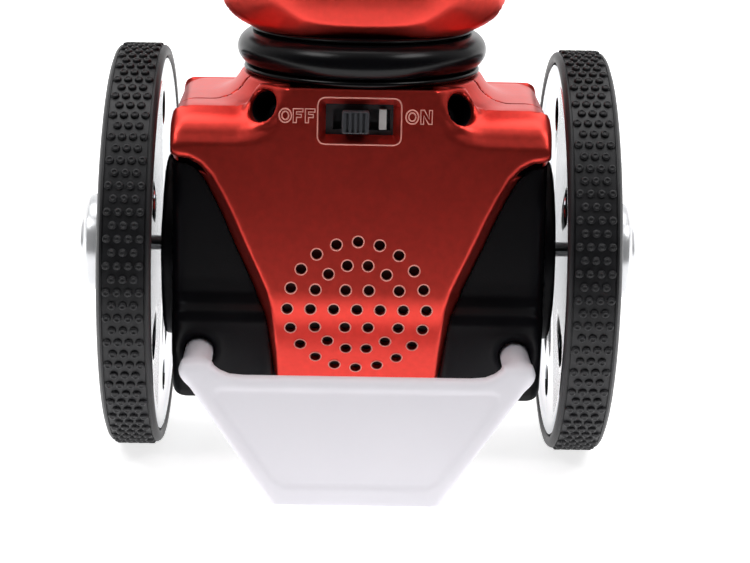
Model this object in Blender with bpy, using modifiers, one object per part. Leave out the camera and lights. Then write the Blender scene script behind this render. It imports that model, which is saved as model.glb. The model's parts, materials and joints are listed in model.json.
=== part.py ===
"""Two-wheel balancing robot car on a plug-in stand, in metres, +Z up, with its back towards -Y.

All dimensions below are in millimetres. Depths (Y) are counted from the wheel axle, heights (Z) from
the floor.
"""

import math

import bmesh
import bpy
from mathutils import Matrix, Vector

MM = 0.001
GAP = 0.3  # between neighbouring pieces
FAR = 90.0  # past every shell's side
SIDES = (("left", -1), ("right", 1))

# Wheels and drive train
WHEEL_R = 69.0  # over the tread
AXLE_Z = WHEEL_R
STAND_REACH = 71.0  # from the axle back to the stand's heel
AXLE_Y = (STAND_REACH - WHEEL_R) / 2  # centres the whole object on the origin
TYRE_IN, TYRE_OUT = 66.0, 83.5  # the tyre's two sides, from the middle plane
TYRE_BORE_R = 62.0
DISC_R = 64.2
DISC_HOLES, DISC_HOLE_AT, DISC_HOLE_R = 6, 47.5, 5.6
HUB_TIP = 95.5
HUB_R = 16.5
AXLE_R = 2.5
GEAR_MODULE = 1.0
WHEEL_TEETH, PINION_TEETH = 36, 12
GEAR_IN, GEAR_OUT = 55.0, 59.0
MOTOR_BACK = 21.5  # the motor's axis lies this far behind the axle
GEAR_CENTRES = GEAR_MODULE * (WHEEL_TEETH + PINION_TEETH) / 2
MOTOR_RISE = math.sqrt(GEAR_CENTRES**2 - MOTOR_BACK**2)
MOTOR_R = 12.0

# Lower casing
BODY_Y = -5.0  # the body's own middle plane, and the waist's axis
PARTING_Y = -20.0  # between the rear and front covers
WALL = 2.0
COLLAR_R = 40.0
COLLAR_Z = 131.3
SHOULDER_X = 63.0
HOUSING_X = 62.7
HOUSING_TOP = 108.9
BOSS_R, BOSS_X = 31.0, 65.6
LIP = 3.0  # how far the tongue's side wall flares out over LIP_DEPTH
LIP_DEPTH = 7.0
TONGUE_D = 41.5  # the tongue's face, from the body's middle plane
PEG_X, PEG_Z, PEG_R = 52.0, 46.0, 5.1
WINDOW_W, WINDOW_H, WINDOW_Z = 26.6, 14.6, 121.0
SCREW_X, SCREW_Z, SCREW_TURN = 32.0, 124.4, 35.0
GRILLE_Z, GRILLE_PITCH, GRILLE_HOLE_R = 57.8, 7.65, 1.7
GRILLE_RINGS = (1, 6, 14, 22)

# Waist, torso, head and arms
WAIST_RING_Z, WAIST_RING_R, WAIST_TUBE_R = 139.2, 35.9, 6.3
WAIST_SIDES = 6
WAIST_WRAP = math.radians(140)  # the ring is a gutter, open towards the waist's axis
NECK_R = 37.3
HEAD_FACE_Y = BODY_Y + 29.0
SHOULDER_Z, ELBOW_Z = 192.0, 170.0
TOTAL_H = 257.0

# (height, half width, half depth, power) of each section, from the bottom up
SHOULDER_ROWS = (
    (109.3, SHOULDER_X, 35.0, 6.0),
    (119.0, SHOULDER_X - 0.3, 35.0, 6.0),
    (122.5, 61.5, 34.5, 5.0),
    (124.6, 57.5, 34.5, 3.5),
    (126.0, 50.5, 36.5, 2.5),
    (127.6, 45.0, 39.5, 2.1),
    (129.4, 41.8, 41.0, 2.0),
    (COLLAR_Z, COLLAR_R, COLLAR_R, 2.0),
)
TORSO_ROWS = (
    (149.3, 35.0, 33.0, 2.0),
    (150.2, 39.5, 36.5, 2.1),
    (152.4, 43.5, 39.0, 2.3),
    (156.0, 46.3, 40.0, 2.6),
    (170.0, 49.0, 40.5, 2.8),
    (184.0, 49.0, 39.8, 2.8),
    (198.0, 46.5, 36.5, 2.6),
    (206.0, 40.5, 32.0, 2.4),
    (211.0, 30.5, 25.5, 2.2),
    (213.0, 17.0, 15.0, 2.0),
)
HEAD_ROWS = (
    (216.0, 24.0, 21.0, 2.2),
    (218.5, 31.0, 27.5, 2.4),
    (225.0, 37.0, 32.5, 2.8),
    (236.0, 39.0, 34.0, 2.8),
    (246.0, 37.0, 32.0, 2.6),
    (252.5, 30.5, 26.5, 2.4),
    (256.0, 19.0, 16.5, 2.2),
    (TOTAL_H, 7.0, 6.0, 2.0),
)
# The tongue's face, right half: (x, z) from the collar down
TONGUE_OUTLINE = (
    (24.5, 133.0),
    (28.6, 120.0),
    (31.2, 116.4),
    (36.0, 114.8),
    (62.4, 114.5),
    (62.4, 109.4),
    (55.7, 109.0),
    (51.4, 106.8),
    (47.4, 102.9),
    (41.4, 90.4),
    (36.0, 77.9),
    (29.3, 63.0),
    (27.6, 50.0),
    (25.8, 26.5),
)
# The tongue's face from the side: (depth from the body's middle plane, z)
TONGUE_SIDE = (
    (TONGUE_D - 3.0, 133.0),
    (TONGUE_D - 2.0, 113.0),
    (TONGUE_D - 0.5, 80.0),
    (TONGUE_D, 57.0),
    (TONGUE_D - 0.6, 51.0),
    (TONGUE_D - 2.6, 45.6),
    (TONGUE_D - 11.5, 27.5),
)
# The hollow behind it, which leaves the two arms of the T solid
TONGUE_HOLLOW = TONGUE_OUTLINE[:3] + ((42.0, 109.0), (45.6, 104.0)) + TONGUE_OUTLINE[9:]
TONGUE_END_D = 29.0
# A side housing from the side: (depth from the axle, z)
HOUSING_OUTLINE = (
    (-36.5, HOUSING_TOP),
    (-36.5, 59.0),
    (-38.0, 56.0),
    (-40.7, 54.0),
    (-41.1, 51.0),
    (-40.1, 47.0),
    (-32.0, 28.5),
    (-26.5, 25.5),
    (21.0, 25.5),
    (28.0, 29.5),
    (31.0, 40.0),
    (31.0, HOUSING_TOP),
)
# The stand's plate, right half, in its own sloping plane: (x, height along the plate)
STAND_OUTLINE = (
    (26.5, -3.0),
    (29.5, 1.6),
    (57.2, 41.0),
    (57.2, 46.5),
    (46.9, 46.5),
    (46.4, 44.2),
    (43.6, 41.4),
    (38.0, 40.4),
)
STAND_THICK, STAND_WEB = 8.4, 4.0
STAND_TOP_Y, STAND_FOOT_Y, STAND_HEIGHT = -59.8, -66.7, 41.0


def clear_scene():
    for obj in list(bpy.data.objects):
        bpy.data.objects.remove(obj, do_unlink=True)


def collection(name):
    group = bpy.data.collections.new(name)
    bpy.context.scene.collection.children.link(group)
    return group


def material(name, colour, roughness, metallic=0.0):
    made = bpy.data.materials.new(name)
    made.use_nodes = True
    shader = made.node_tree.nodes["Principled BSDF"]
    shader.inputs["Base Color"].default_value = (*colour, 1.0)
    shader.inputs["Roughness"].default_value = roughness
    shader.inputs["Metallic"].default_value = metallic
    return made


clear_scene()
PARTS = collection("two_wheel_robot")
CUTTERS = collection("cutters")
RED = material("red_shell", (0.62, 0.045, 0.03), 0.32, 0.55)
BLACK = material("black_housing", (0.018, 0.018, 0.022), 0.4)
GLOSS = material("waist_rubber", (0.01, 0.01, 0.012), 0.25)
TYRE = material("tyre_rubber", (0.035, 0.035, 0.038), 0.7)
CHROME = material("chrome_plating", (0.82, 0.82, 0.84), 0.08, 1.0)
WHITE = material("white_plastic", (0.86, 0.84, 0.88), 0.45)
DARK = material("dark_plastic", (0.05, 0.05, 0.055), 0.5)
STEEL = material("steel", (0.55, 0.55, 0.57), 0.35, 1.0)
BRASS = material("brass", (0.75, 0.55, 0.25), 0.35, 1.0)
BOARD = material("circuit_board", (0.02, 0.16, 0.07), 0.5)
CELLS = material("battery_wrap", (0.05, 0.16, 0.42), 0.4)
CONE = material("speaker_paper", (0.04, 0.04, 0.04), 0.9)
LENS = material("lens", (0.15, 0.55, 0.9), 0.1)


def at(x, y, z):
    """A point given from the axle's plane, in the part's own frame and in metres."""
    return Vector((x, y + AXLE_Y, z)) * MM


def place(name, mesh, finish=None, matrix=None):
    """An object of the model, or a cutter where no finish is given."""
    obj = bpy.data.objects.new(name, mesh)
    (PARTS if finish else CUTTERS).objects.link(obj)
    if finish:
        mesh.materials.clear()
        mesh.materials.append(finish)
    else:
        obj.hide_render = True
        obj.display_type = "WIRE"
    if matrix is not None:
        obj.matrix_world = matrix
    return obj


def from_bmesh(name, bm, finish=None, matrix=None, smooth=True):
    bmesh.ops.recalc_face_normals(bm, faces=bm.faces[:])
    mesh = bpy.data.meshes.new(name)
    bm.to_mesh(mesh)
    bm.free()
    if smooth:
        mesh.shade_smooth()
        mesh.set_sharp_from_angle(angle=math.radians(35))
    return place(name, mesh, finish, matrix)


def side_axis(side, y, z):
    """Turns local +Z outwards, towards the given side, about the line (y, z)."""
    return Matrix.Translation(at(0, y, z)) @ Matrix.Rotation(side * math.pi / 2, 4, "Y")


def upright(y):
    return Matrix.Translation(at(0, y, 0))


def turned(name, profile, finish=None, matrix=None, steps=32):
    """A profile of (radius, height) points, closed if it stays off the axis, turned about local Z."""
    closed = min(radius for radius, _ in profile) > 0
    points = list(profile)
    area = sum(a[0] * b[1] - b[0] * a[1] for a, b in zip(points, points[1:] + points[:1]))
    if area > 0:
        points.reverse()  # so that it runs down its outer side
    mesh = bpy.data.meshes.new(name)
    edges = [(i, i + 1) for i in range(len(points) - 1)]
    if closed:
        edges.append((len(points) - 1, 0))
    mesh.from_pydata([(r * MM, 0, h * MM) for r, h in points], edges, [])
    obj = place(name, mesh, finish, matrix)
    screw = obj.modifiers.new("turn", "SCREW")
    screw.steps = screw.render_steps = steps
    screw.use_merge_vertices = True
    screw.merge_threshold = 1e-5
    screw.use_smooth_shade = False
    return obj


def ring(name, inner_r, outer_r, low, high, finish=None, matrix=None, steps=32, edge=0.0):
    """A plain ring, or a disc if inner_r is 0, with its outer edges chamfered by edge."""
    profile = [
        (inner_r, low),
        (outer_r - edge, low),
        (outer_r, low + edge),
        (outer_r, high - edge),
        (outer_r - edge, high),
        (inner_r, high),
    ]
    if not edge:
        profile = [profile[0], (outer_r, low), (outer_r, high), profile[5]]
    return turned(name, profile, finish, matrix, steps)


def prism(name, outline, low, high, finish=None, matrix=None, bevel=0.0):
    """A flat outline of (x, y) points, extruded along local Z from low to high."""
    curve = bpy.data.curves.new(name, "CURVE")
    curve.dimensions = "2D"
    curve.fill_mode = "BOTH"
    curve.extrude = (high - low) / 2 * MM
    spline = curve.splines.new("POLY")
    spline.points.add(len(outline) - 1)
    for point, (x, y) in zip(spline.points, outline):
        point.co = (x * MM, y * MM, 0, 1)
    spline.use_cyclic_u = True
    guide = bpy.data.objects.new(name, curve)
    CUTTERS.objects.link(guide)
    bpy.context.view_layer.update()
    mesh = bpy.data.meshes.new_from_object(guide)
    bpy.data.objects.remove(guide, do_unlink=True)
    bm = bmesh.new()
    bm.from_mesh(mesh)
    bmesh.ops.remove_doubles(bm, verts=bm.verts[:], dist=1e-6)
    bmesh.ops.dissolve_limit(bm, angle_limit=0.01, verts=bm.verts[:], edges=bm.edges[:])
    bmesh.ops.translate(bm, verts=bm.verts[:], vec=(0, 0, (low + high) / 2 * MM))
    obj = from_bmesh(name, bm, finish, matrix, smooth=False)
    if bevel:
        round_edges(obj, bevel)
    return obj


def across(name, outline, low, high, finish=None, bevel=0.0, pivot=(0.0, 0.0)):
    """An outline of (depth, height) points extruded along X, with its origin on the axis through pivot."""
    turn = Matrix(((0, 0, 1, 0), (1, 0, 0, 0), (0, 1, 0, 0), (0, 0, 0, 1)))
    low, high = sorted((low, high))
    local = [(y - pivot[0], z - pivot[1]) for y, z in outline]
    return prism(name, local, low, high, finish, Matrix.Translation(at(0, *pivot)) @ turn, bevel)


def block(name, low, high, finish=None, bevel=0.0):
    """A box between two corners given from the axle's plane."""
    bm = bmesh.new()
    bmesh.ops.create_cube(bm, size=1.0)
    size = [h - l for l, h in zip(low, high)]
    middle = [(h + l) / 2 for l, h in zip(low, high)]
    bmesh.ops.scale(bm, verts=bm.verts[:], vec=Vector(size) * MM)
    bmesh.ops.translate(bm, verts=bm.verts[:], vec=at(*middle))
    obj = from_bmesh(name, bm, finish, smooth=False)
    if bevel:
        round_edges(obj, bevel)
    return obj


def round_edges(obj, width, segments=2):
    bevel = obj.modifiers.new("edges", "BEVEL")
    bevel.width = width * MM
    bevel.segments = segments
    bevel.limit_method = "ANGLE"
    bevel.angle_limit = math.radians(35)


def boolean(obj, other, operation="DIFFERENCE", solver="EXACT"):
    """MANIFOLD is for the thin shells, where EXACT leaves slits."""
    modifier = obj.modifiers.new(operation.lower(), "BOOLEAN")
    modifier.operation = operation
    modifier.object = other
    modifier.solver = solver


def superellipse(half_x, half_y, power, steps):
    for i in range(steps):
        angle = 2 * math.pi * i / steps
        c, s = math.cos(angle), math.sin(angle)
        yield (
            half_x * math.copysign(abs(c) ** (2 / power), c),
            half_y * math.copysign(abs(s) ** (2 / power), s),
        )


def lofted(name, rows, grow=0.0, finish=None, steps=24, ends=(0.0, 0.0)):
    """Superellipse sections stacked up the middle plane, grown by grow, with the ends moved out by ends."""
    bm = bmesh.new()
    rings = []
    for index, (z, half_x, half_y, power) in enumerate(rows):
        if index == 0:
            z -= ends[0]
        if index == len(rows) - 1:
            z += ends[1]
        outline = superellipse(half_x + grow, half_y + grow, power, steps)
        rings.append([bm.verts.new(at(x, y + BODY_Y, z)) for x, y in outline])
    for lower, upper in zip(rings, rings[1:]):
        for i in range(steps):
            j = (i + 1) % steps
            bm.faces.new((lower[i], lower[j], upper[j], upper[i]))
    bm.faces.new(rings[0])
    bm.faces.new(rings[-1])
    return from_bmesh(name, bm, finish)


def offset_outline(points, distance):
    """A closed outline moved outwards by distance at every edge; the points run clockwise or not alike."""
    count = len(points)
    area = sum(
        points[i][0] * points[(i + 1) % count][1] - points[(i + 1) % count][0] * points[i][1]
        for i in range(count)
    )
    turn = 1.0 if area > 0 else -1.0
    moved = []
    for i, here in enumerate(points):
        before, after = Vector(points[i - 1]), Vector(points[(i + 1) % count])
        here = Vector(here)
        first, second = (here - before).normalized(), (after - here).normalized()
        normal_a = Vector((first.y, -first.x)) * turn
        normal_b = Vector((second.y, -second.x)) * turn
        mitre = (normal_a + normal_b).normalized()
        moved.append(here + mitre * distance / max(mitre.dot(normal_a), 0.5))
    return moved


def mirrored(outline):
    """The whole outline of a symmetric shape from its right half, listed from the top down."""
    return list(outline) + [(-x, z) for x, z in reversed(outline)]


def tongue(name, facing, grow=0.0, open_end=0.0):
    """The T-shaped panel from collar to underside, with facing -1 for the rear one and 1 for the front."""
    outline = mirrored(TONGUE_HOLLOW if grow < 0 else TONGUE_OUTLINE)
    slope = LIP / LIP_DEPTH
    depths = (TONGUE_D + 4.0, TONGUE_D - LIP_DEPTH - 1.0, TONGUE_END_D - open_end)
    spreads = (-4.0 * slope, LIP + slope, LIP + slope)
    bm = bmesh.new()
    rings = []
    for depth, spread in zip(depths, spreads):
        edge = offset_outline(outline, spread + grow)
        # the foot of a hollow is drawn out below the panel, so that it stays open there
        drop = 6.0 if grow < 0 else 0.0
        points = [(x, z - drop if z < 35 else z) for x, z in edge]
        rings.append([bm.verts.new(at(x, BODY_Y + facing * depth, z)) for x, z in points])
    count = len(outline)
    for near, far in zip(rings, rings[1:]):
        for i in range(count):
            j = (i + 1) % count
            bm.faces.new((near[i], near[j], far[j], far[i]))
    bm.faces.new(rings[0])
    bm.faces.new(rings[-1])
    body = from_bmesh(name, bm)
    profile = [(d + grow, z) for d, z in TONGUE_SIDE]
    profile[0] = (profile[0][0], profile[0][1] + 1.0)
    profile[-1] = (profile[-1][0], profile[-1][1] - abs(grow) * 1.5)
    back = TONGUE_END_D - open_end
    profile += [(back, profile[-1][1]), (back, profile[0][1])]
    reach = SHOULDER_X - 0.1 + grow
    side = across(name + "_side", [(BODY_Y + facing * d, z) for d, z in profile], -reach, reach)
    boolean(body, side, "INTERSECT")
    crown = turned(
        name + "_crown",
        ((0, 20), (95, 20), (95, 104), (60 + grow, 115), (48 + grow, 122), (43.4 + grow, 127.2),
         (COLLAR_R + 0.05 + grow, COLLAR_Z), (0, COLLAR_Z)),
        matrix=upright(BODY_Y),
        steps=48,
    )
    boolean(body, crown, "INTERSECT")
    return body


def screw_frame(side):
    """The recessed screw's own frame: local +Z points out of the recess."""
    spot = Matrix.Translation(at(side * SCREW_X, BODY_Y - TONGUE_D + 2.5, SCREW_Z))
    swing = Matrix.Rotation(side * math.radians(SCREW_TURN), 4, "Z")
    return spot @ swing @ Matrix.Rotation(math.pi / 2, 4, "X")


def casing_half(name, facing):
    """One cover: shoulders and tongue in one shell, split from the other cover at the parting plane."""
    shell = lofted(name, SHOULDER_ROWS, finish=RED)
    boolean(shell, tongue(name + "_tongue", facing), "UNION", "MANIFOLD")
    inner = lofted(name + "_inner", SHOULDER_ROWS, grow=-WALL, ends=(4.0, 4.0))
    panel_inner = tongue(name + "_tongue_inner", facing, grow=-WALL, open_end=20.0)
    boolean(inner, panel_inner, "UNION", "MANIFOLD")
    if facing < 0:
        for side in (-1, 1):
            boss = ring(f"{name}_boss_{side}", 0, 7.0, -13, 6, matrix=screw_frame(side), steps=20)
            boolean(inner, boss, solver="MANIFOLD")
    boolean(shell, inner, solver="MANIFOLD")
    far = PARTING_Y + (GAP / 2) * facing
    low, high = (far, FAR) if facing > 0 else (-FAR, far)
    keep = block(name + "_keep", (-FAR, low, 10), (FAR, high, 150))
    boolean(shell, keep, "INTERSECT", "MANIFOLD")
    return shell


def grille_holes():
    """Ring by ring: each hole's x and height on the tongue's face."""
    for index, count in enumerate(GRILLE_RINGS):
        for step in range(count):
            angle = math.pi / 2 + 2 * math.pi * step / count
            yield GRILLE_PITCH * index * math.cos(angle), GRILLE_Z + GRILLE_PITCH * index * math.sin(angle)


def rounded_rectangle(width, height, radius, steps=3, centre=(0.0, 0.0)):
    points = []
    for quarter in range(4):
        cx = (width / 2 - radius) * (1 if quarter in (0, 3) else -1)
        cy = (height / 2 - radius) * (1 if quarter < 2 else -1)
        for i in range(steps + 1):
            angle = math.pi / 2 * (quarter + i / steps)
            points.append(
                (centre[0] + cx + radius * math.cos(angle), centre[1] + cy + radius * math.sin(angle))
            )
    return points


def rear_cover():
    cover = casing_half("lower_rear_cover", -1)
    facing_back = Matrix.Translation(at(0, BODY_Y, 0)) @ Matrix.Rotation(math.pi / 2, 4, "X")
    window = prism(
        "window_cut",
        rounded_rectangle(WINDOW_W, WINDOW_H, 2.0, centre=(0, WINDOW_Z)),
        TONGUE_D - 8,
        TONGUE_D + 8,
        matrix=facing_back,
    )
    boolean(cover, window, solver="MANIFOLD")
    for side in (-1, 1):
        frame = screw_frame(side)
        recess = ring(f"recess_cut_{side}", 0, 5.6, -9.5, 12, matrix=frame, steps=20)
        boolean(cover, recess, solver="MANIFOLD")
        hole = ring(f"screw_hole_cut_{side}", 0, 1.8, -20, 5, matrix=frame, steps=12)
        boolean(cover, hole, solver="MANIFOLD")
    bm = bmesh.new()
    for x, z in grille_holes():
        spot = facing_back @ Matrix.Translation(Vector((x, z, TONGUE_D - 5)) * MM)
        bmesh.ops.create_cone(
            bm, cap_ends=True, segments=6, radius1=GRILLE_HOLE_R * MM, radius2=GRILLE_HOLE_R * MM,
            depth=20 * MM, matrix=spot,
        )
    boolean(cover, from_bmesh("grille_cut", bm), solver="MANIFOLD")


def front_cover():
    cover = casing_half("lower_front_cover", 1)
    facing_front = Matrix.Translation(at(0, BODY_Y, WINDOW_Z)) @ Matrix.Rotation(-math.pi / 2, 4, "X")
    cut = ring("lens_cut", 0, 6.3, TONGUE_D - 8, TONGUE_D + 8, matrix=facing_front, steps=24)
    boolean(cover, cut, solver="MANIFOLD")
    ring("front_sensor_lens", 0, 6.0, TONGUE_D - 5, TONGUE_D - 1.6, LENS, facing_front, steps=20)


def side_housing(label, side):
    """The black half of the chassis that holds one motor, its gears and the wheel's bush."""
    body = across(label + "_side_housing", HOUSING_OUTLINE, side * 28, side * HOUSING_X, BLACK)
    axle = side_axis(side, 0, AXLE_Z)
    boss = ring(label + "_boss", 0, BOSS_R, HOUSING_X - 1, BOSS_X, matrix=axle, steps=48, edge=0.8)
    boolean(body, boss, "UNION", "MANIFOLD")
    hollow = offset_outline(HOUSING_OUTLINE, -WALL)
    cutters = [across(label + "_hollow", hollow, side * 20, side * (HOUSING_X - WALL))]
    cutters += [tongue(f"{label}_clear_{facing}", facing, grow=GAP) for facing in (-1, 1)]
    cutters.append(ring(label + "_bush_cut", 0, 5.3, 50, 80, matrix=axle, steps=24))
    cutters.append(ring(label + "_peg_cut", 0, PEG_R + 0.5, -50, -20, matrix=peg_axis(side), steps=20))
    for cutter in cutters:
        boolean(body, cutter, solver="MANIFOLD")


def peg_axis(side):
    return Matrix.Translation(at(side * PEG_X, 0, PEG_Z)) @ Matrix.Rotation(-math.pi / 2, 4, "X")


def gear_outline(teeth, phase):
    """Involute teeth, thinned for backlash; phase is the angle of one tooth's middle."""
    pitch_r = GEAR_MODULE * teeth / 2
    base_r = pitch_r * math.cos(math.radians(20))
    tip_r, root_r = pitch_r + 0.8 * GEAR_MODULE, pitch_r - 1.2 * GEAR_MODULE
    half_thick = 0.42 * math.pi / teeth  # of a tooth at the pitch circle, as an angle

    def involute(radius):
        if radius <= base_r:
            return 0.0
        roll = math.sqrt((radius / base_r) ** 2 - 1)
        return roll - math.atan(roll)

    radii = (root_r, tip_r)
    flank = [(r, half_thick + involute(pitch_r) - involute(r)) for r in radii]
    points = []
    for tooth in range(teeth):
        middle = phase + 2 * math.pi * tooth / teeth
        for radius, half in flank:
            points.append((radius, middle - half))
        for radius, half in reversed(flank):
            points.append((radius, middle + half))
    return [(r * math.cos(a), r * math.sin(a)) for r, a in points]


def gear(name, teeth, phase, bore, low, high, finish, matrix):
    body = prism(name, gear_outline(teeth, phase), low, high, finish, matrix)
    boolean(body, ring(name + "_bore", 0, bore, low - 2, high + 2, matrix=matrix, steps=16))


def drive_train(label, side):
    """Motor, its bracket and pinion, and the bush in the side wall."""
    axle = side_axis(side, 0, AXLE_Z)
    motor_z = AXLE_Z + MOTOR_RISE
    motor = side_axis(side, -MOTOR_BACK, motor_z)
    turned(
        label + "_motor",
        ((0, 29), (4, 29), (4, 31), (MOTOR_R, 31), (MOTOR_R, 51.6), (4, 51.6), (4, 52.9), (1.3, 52.9),
         (1.3, 49), (0, 49)),
        STEEL,
        motor,
        steps=16,
    )
    near, far = sorted((side * 53.2, side * 54.6))
    bracket = block(label + "_motor_bracket", (near, -31.3, 56), (far, 12, 98), DARK)
    boolean(bracket, ring(label + "_bracket_axle_cut", 0, AXLE_R + GAP, 50, 58, matrix=axle, steps=16))
    boolean(bracket, ring(label + "_bracket_shaft_cut", 0, 3.0, 50, 58, matrix=motor, steps=16))
    ring(label + "_axle_bush", AXLE_R + GAP, 5.0, 59.6, 65.4, BRASS, axle, steps=16)

    # the local X axis lies downwards on the right side and upwards on the left one
    towards = math.atan2(-MOTOR_BACK, -side * MOTOR_RISE)
    gear(label + "_drive_gear", WHEEL_TEETH, towards, AXLE_R + GAP, GEAR_IN, GEAR_OUT, WHITE, axle)
    pinion_phase = towards + math.pi + math.pi / PINION_TEETH
    teeth = gear_outline(PINION_TEETH, pinion_phase)
    pinion = prism(label + "_pinion", teeth, GEAR_IN - 0.2, GEAR_OUT + 0.2, BRASS, motor)
    shaft = ring(label + "_pinion_shaft", 0, 1.0, 49.5, GEAR_OUT + 0.6, matrix=motor, steps=12)
    boolean(pinion, shaft, "UNION")


def wheel(label, side):
    axle = side_axis(side, 0, AXLE_Z)
    r = WHEEL_R
    turned(
        label + "_tyre",
        ((DISC_R + GAP, TYRE_IN), (r - 2.4, TYRE_IN), (r, TYRE_IN + 2.2), (r, TYRE_OUT - 2.2),
         (r - 2.4, TYRE_OUT), (TYRE_BORE_R, TYRE_OUT), (TYRE_BORE_R, TYRE_IN + 3),
         (DISC_R + GAP, TYRE_IN + 3)),
        TYRE,
        axle,
        steps=40,
    )
    bore = AXLE_R + GAP
    edge = TYRE_BORE_R - GAP
    turned(
        label + "_rim",
        ((bore, 73), (8, 73), (8, 77), (50, 74.6), (57, 69.4), (edge, 69.4), (edge, TYRE_OUT - 1.2),
         (edge - 1.6, TYRE_OUT - 0.8), (58.6, 79.5), (51, 77), (24, 79.4), (HUB_R - 1, 83.6),
         (bore, 83.6)),
        BLACK,
        axle,
        steps=24,
    )
    disc = turned(
        label + "_inner_disc",
        ((12, 66.6), (DISC_R - 0.6, 66.6), (DISC_R, 67.2), (DISC_R, 68.5), (12, 68.5)),
        CHROME,
        axle,
        steps=32,
    )
    bm = bmesh.new()
    for index in range(DISC_HOLES):
        angle = 2 * math.pi * index / DISC_HOLES - math.pi / 2
        spot = at(side * 67.5, DISC_HOLE_AT * math.cos(angle), AXLE_Z + DISC_HOLE_AT * math.sin(angle))
        bmesh.ops.create_cone(
            bm, cap_ends=True, segments=10, radius1=DISC_HOLE_R * MM, radius2=DISC_HOLE_R * MM,
            depth=6 * MM, matrix=Matrix.Translation(spot) @ Matrix.Rotation(math.pi / 2, 4, "Y"),
        )
    boolean(disc, from_bmesh(label + "_disc_holes", bm))
    turned(
        label + "_hub_cap",
        ((0, 86.2), (9, 86.2), (9, 84), (HUB_R, 84), (HUB_R, 91.8), (HUB_R - 1.6, 93.6), (9, 94.2),
         (7.5, HUB_TIP), (0, HUB_TIP)),
        CHROME,
        axle,
        steps=20,
    )
    ring(label + "_axle", 0, AXLE_R, 50, 85.8, STEEL, axle, steps=16, edge=0.3)


def stand():
    """The white plug-in stand: a sloping plate with a thinner web, a flat foot, and two pegs."""
    lean = math.atan2(STAND_TOP_Y - STAND_FOOT_Y, STAND_HEIGHT)
    plane = Matrix.Translation(at(0, STAND_FOOT_Y, 0)) @ Matrix.Rotation(math.pi / 2 - lean, 4, "X")
    deep = STAND_THICK / 2
    plate = prism("stand", mirrored(STAND_OUTLINE), -deep, deep, WHITE, plane, bevel=2.2)
    recess = mirrored(((24.0, 6.5), (29.0, 10.5), (45.5, 34.5), (44.0, 36.4)))
    boolean(plate, prism("stand_recess", recess, STAND_WEB / 2, deep + 3, matrix=plane))
    for side in (-1, 1):
        peg = bend_tube(f"stand_peg_{side}", side)
        boolean(plate, peg, "UNION")
    boolean(plate, block("stand_floor_cut", (-80, -110, -30), (80, -30, 0)))


def bend_tube(name, side):
    """A peg: straight into its socket, then bent down into the plate."""
    path = [(PEG_X, -26.0, PEG_Z), (PEG_X, -54.0, PEG_Z)]
    bend_r = 6.0
    for step in range(1, 5):
        angle = math.pi / 2 * step / 4
        path.append((PEG_X, -54.0 - bend_r * math.sin(angle), PEG_Z - bend_r * (1 - math.cos(angle))))
    path.append((PEG_X, -61.0, PEG_Z - 12.0))
    curve = bpy.data.curves.new(name, "CURVE")
    curve.dimensions = "3D"
    curve.bevel_depth = PEG_R * MM
    curve.bevel_resolution = 3
    curve.use_fill_caps = True
    spline = curve.splines.new("POLY")
    spline.points.add(len(path) - 1)
    for point, (x, y, z) in zip(spline.points, path):
        point.co = (*at(side * x, y, z), 1)
    guide = bpy.data.objects.new(name + "_path", curve)
    CUTTERS.objects.link(guide)
    bpy.context.view_layer.update()
    mesh = bpy.data.meshes.new_from_object(guide)
    bpy.data.objects.remove(guide, do_unlink=True)
    bm = bmesh.new()
    bm.from_mesh(mesh)
    bmesh.ops.remove_doubles(bm, verts=bm.verts[:], dist=1e-6)
    return from_bmesh(name, bm)


def switch():
    """A slide switch behind the window: its frame, a pale contact strip and the ribbed slider."""
    back = BODY_Y - TONGUE_D
    frame = block("switch_body", (-12.4, back + 5.6, WINDOW_Z - 6.6), (12.4, back + 11.6, WINDOW_Z + 6.6),
                  DARK)
    slot = block("switch_slot", (-9.2, back + 3, WINDOW_Z - 3.4), (9.2, back + 8.4, WINDOW_Z + 3.4))
    boolean(frame, slot)
    block("switch_contact", (5.6, back + 4.4, WINDOW_Z - 3), (8.0, back + 5.3, WINDOW_Z + 3.6), STEEL)
    knob = block("switch_slider", (-6.6, back + 1.0, WINDOW_Z - 4.0), (2.2, back + 4.1, WINDOW_Z + 3.4),
                 DARK, 0.5)
    stem = block("switch_stem", (-4.6, back + 3.5, WINDOW_Z - 2.6), (0.2, back + 8.0, WINDOW_Z + 2.6))
    boolean(knob, stem, "UNION")


def speaker():
    facing_back = Matrix.Translation(at(0, 0, GRILLE_Z + 2.0)) @ Matrix.Rotation(math.pi / 2, 4, "X")
    turned(
        "speaker_basket",
        ((11.4, 27.0), (13.0, 27.0), (20.0, 35.4), (20.0, 37.2), (18.4, 37.2), (18.4, 35.8), (11.4, 28.8)),
        DARK,
        facing_back,
        steps=20,
    )
    turned(
        "speaker_cone",
        ((0, 32.4), (4.2, 31.0), (6.0, 31.6), (17.9, 36.3), (17.9, 37.0), (6.0, 32.6), (4.2, 32.6),
         (0, 34.0)),
        CONE,
        facing_back,
        steps=16,
    )
    ring("speaker_magnet", 0, 11.0, 22.6, 28.6, STEEL, facing_back, steps=20)


def inner_pieces():
    block("battery_pack", (-27.6, -42.0, 80.4), (27.6, -21.4, 112.8), CELLS, 1.5)
    block("main_board", (-24, -14, 97), (24, 26, 98.6), BOARD)
    tray = block("chassis_tray", (-27.6, -25.4, 25.6), (27.6, 21.4, 28.6), BLACK)
    boolean(tray, block("door_cut", (-20, -18, 20), (20, 14, 35)))
    block("battery_door", (-19.7, -17.7, 25.6), (19.7, 13.7, 27.4), BLACK, 0.3)
    for label, side in SIDES:
        frame = screw_frame(side)
        turned(
            label + "_cover_screw",
            ((0, -22), (1.4, -21), (1.4, -9.1), (3.1, -9.1), (3.1, -7.6), (2.2, -6.9), (0, -6.9)),
            STEEL,
            frame,
            steps=16,
        )


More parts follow.
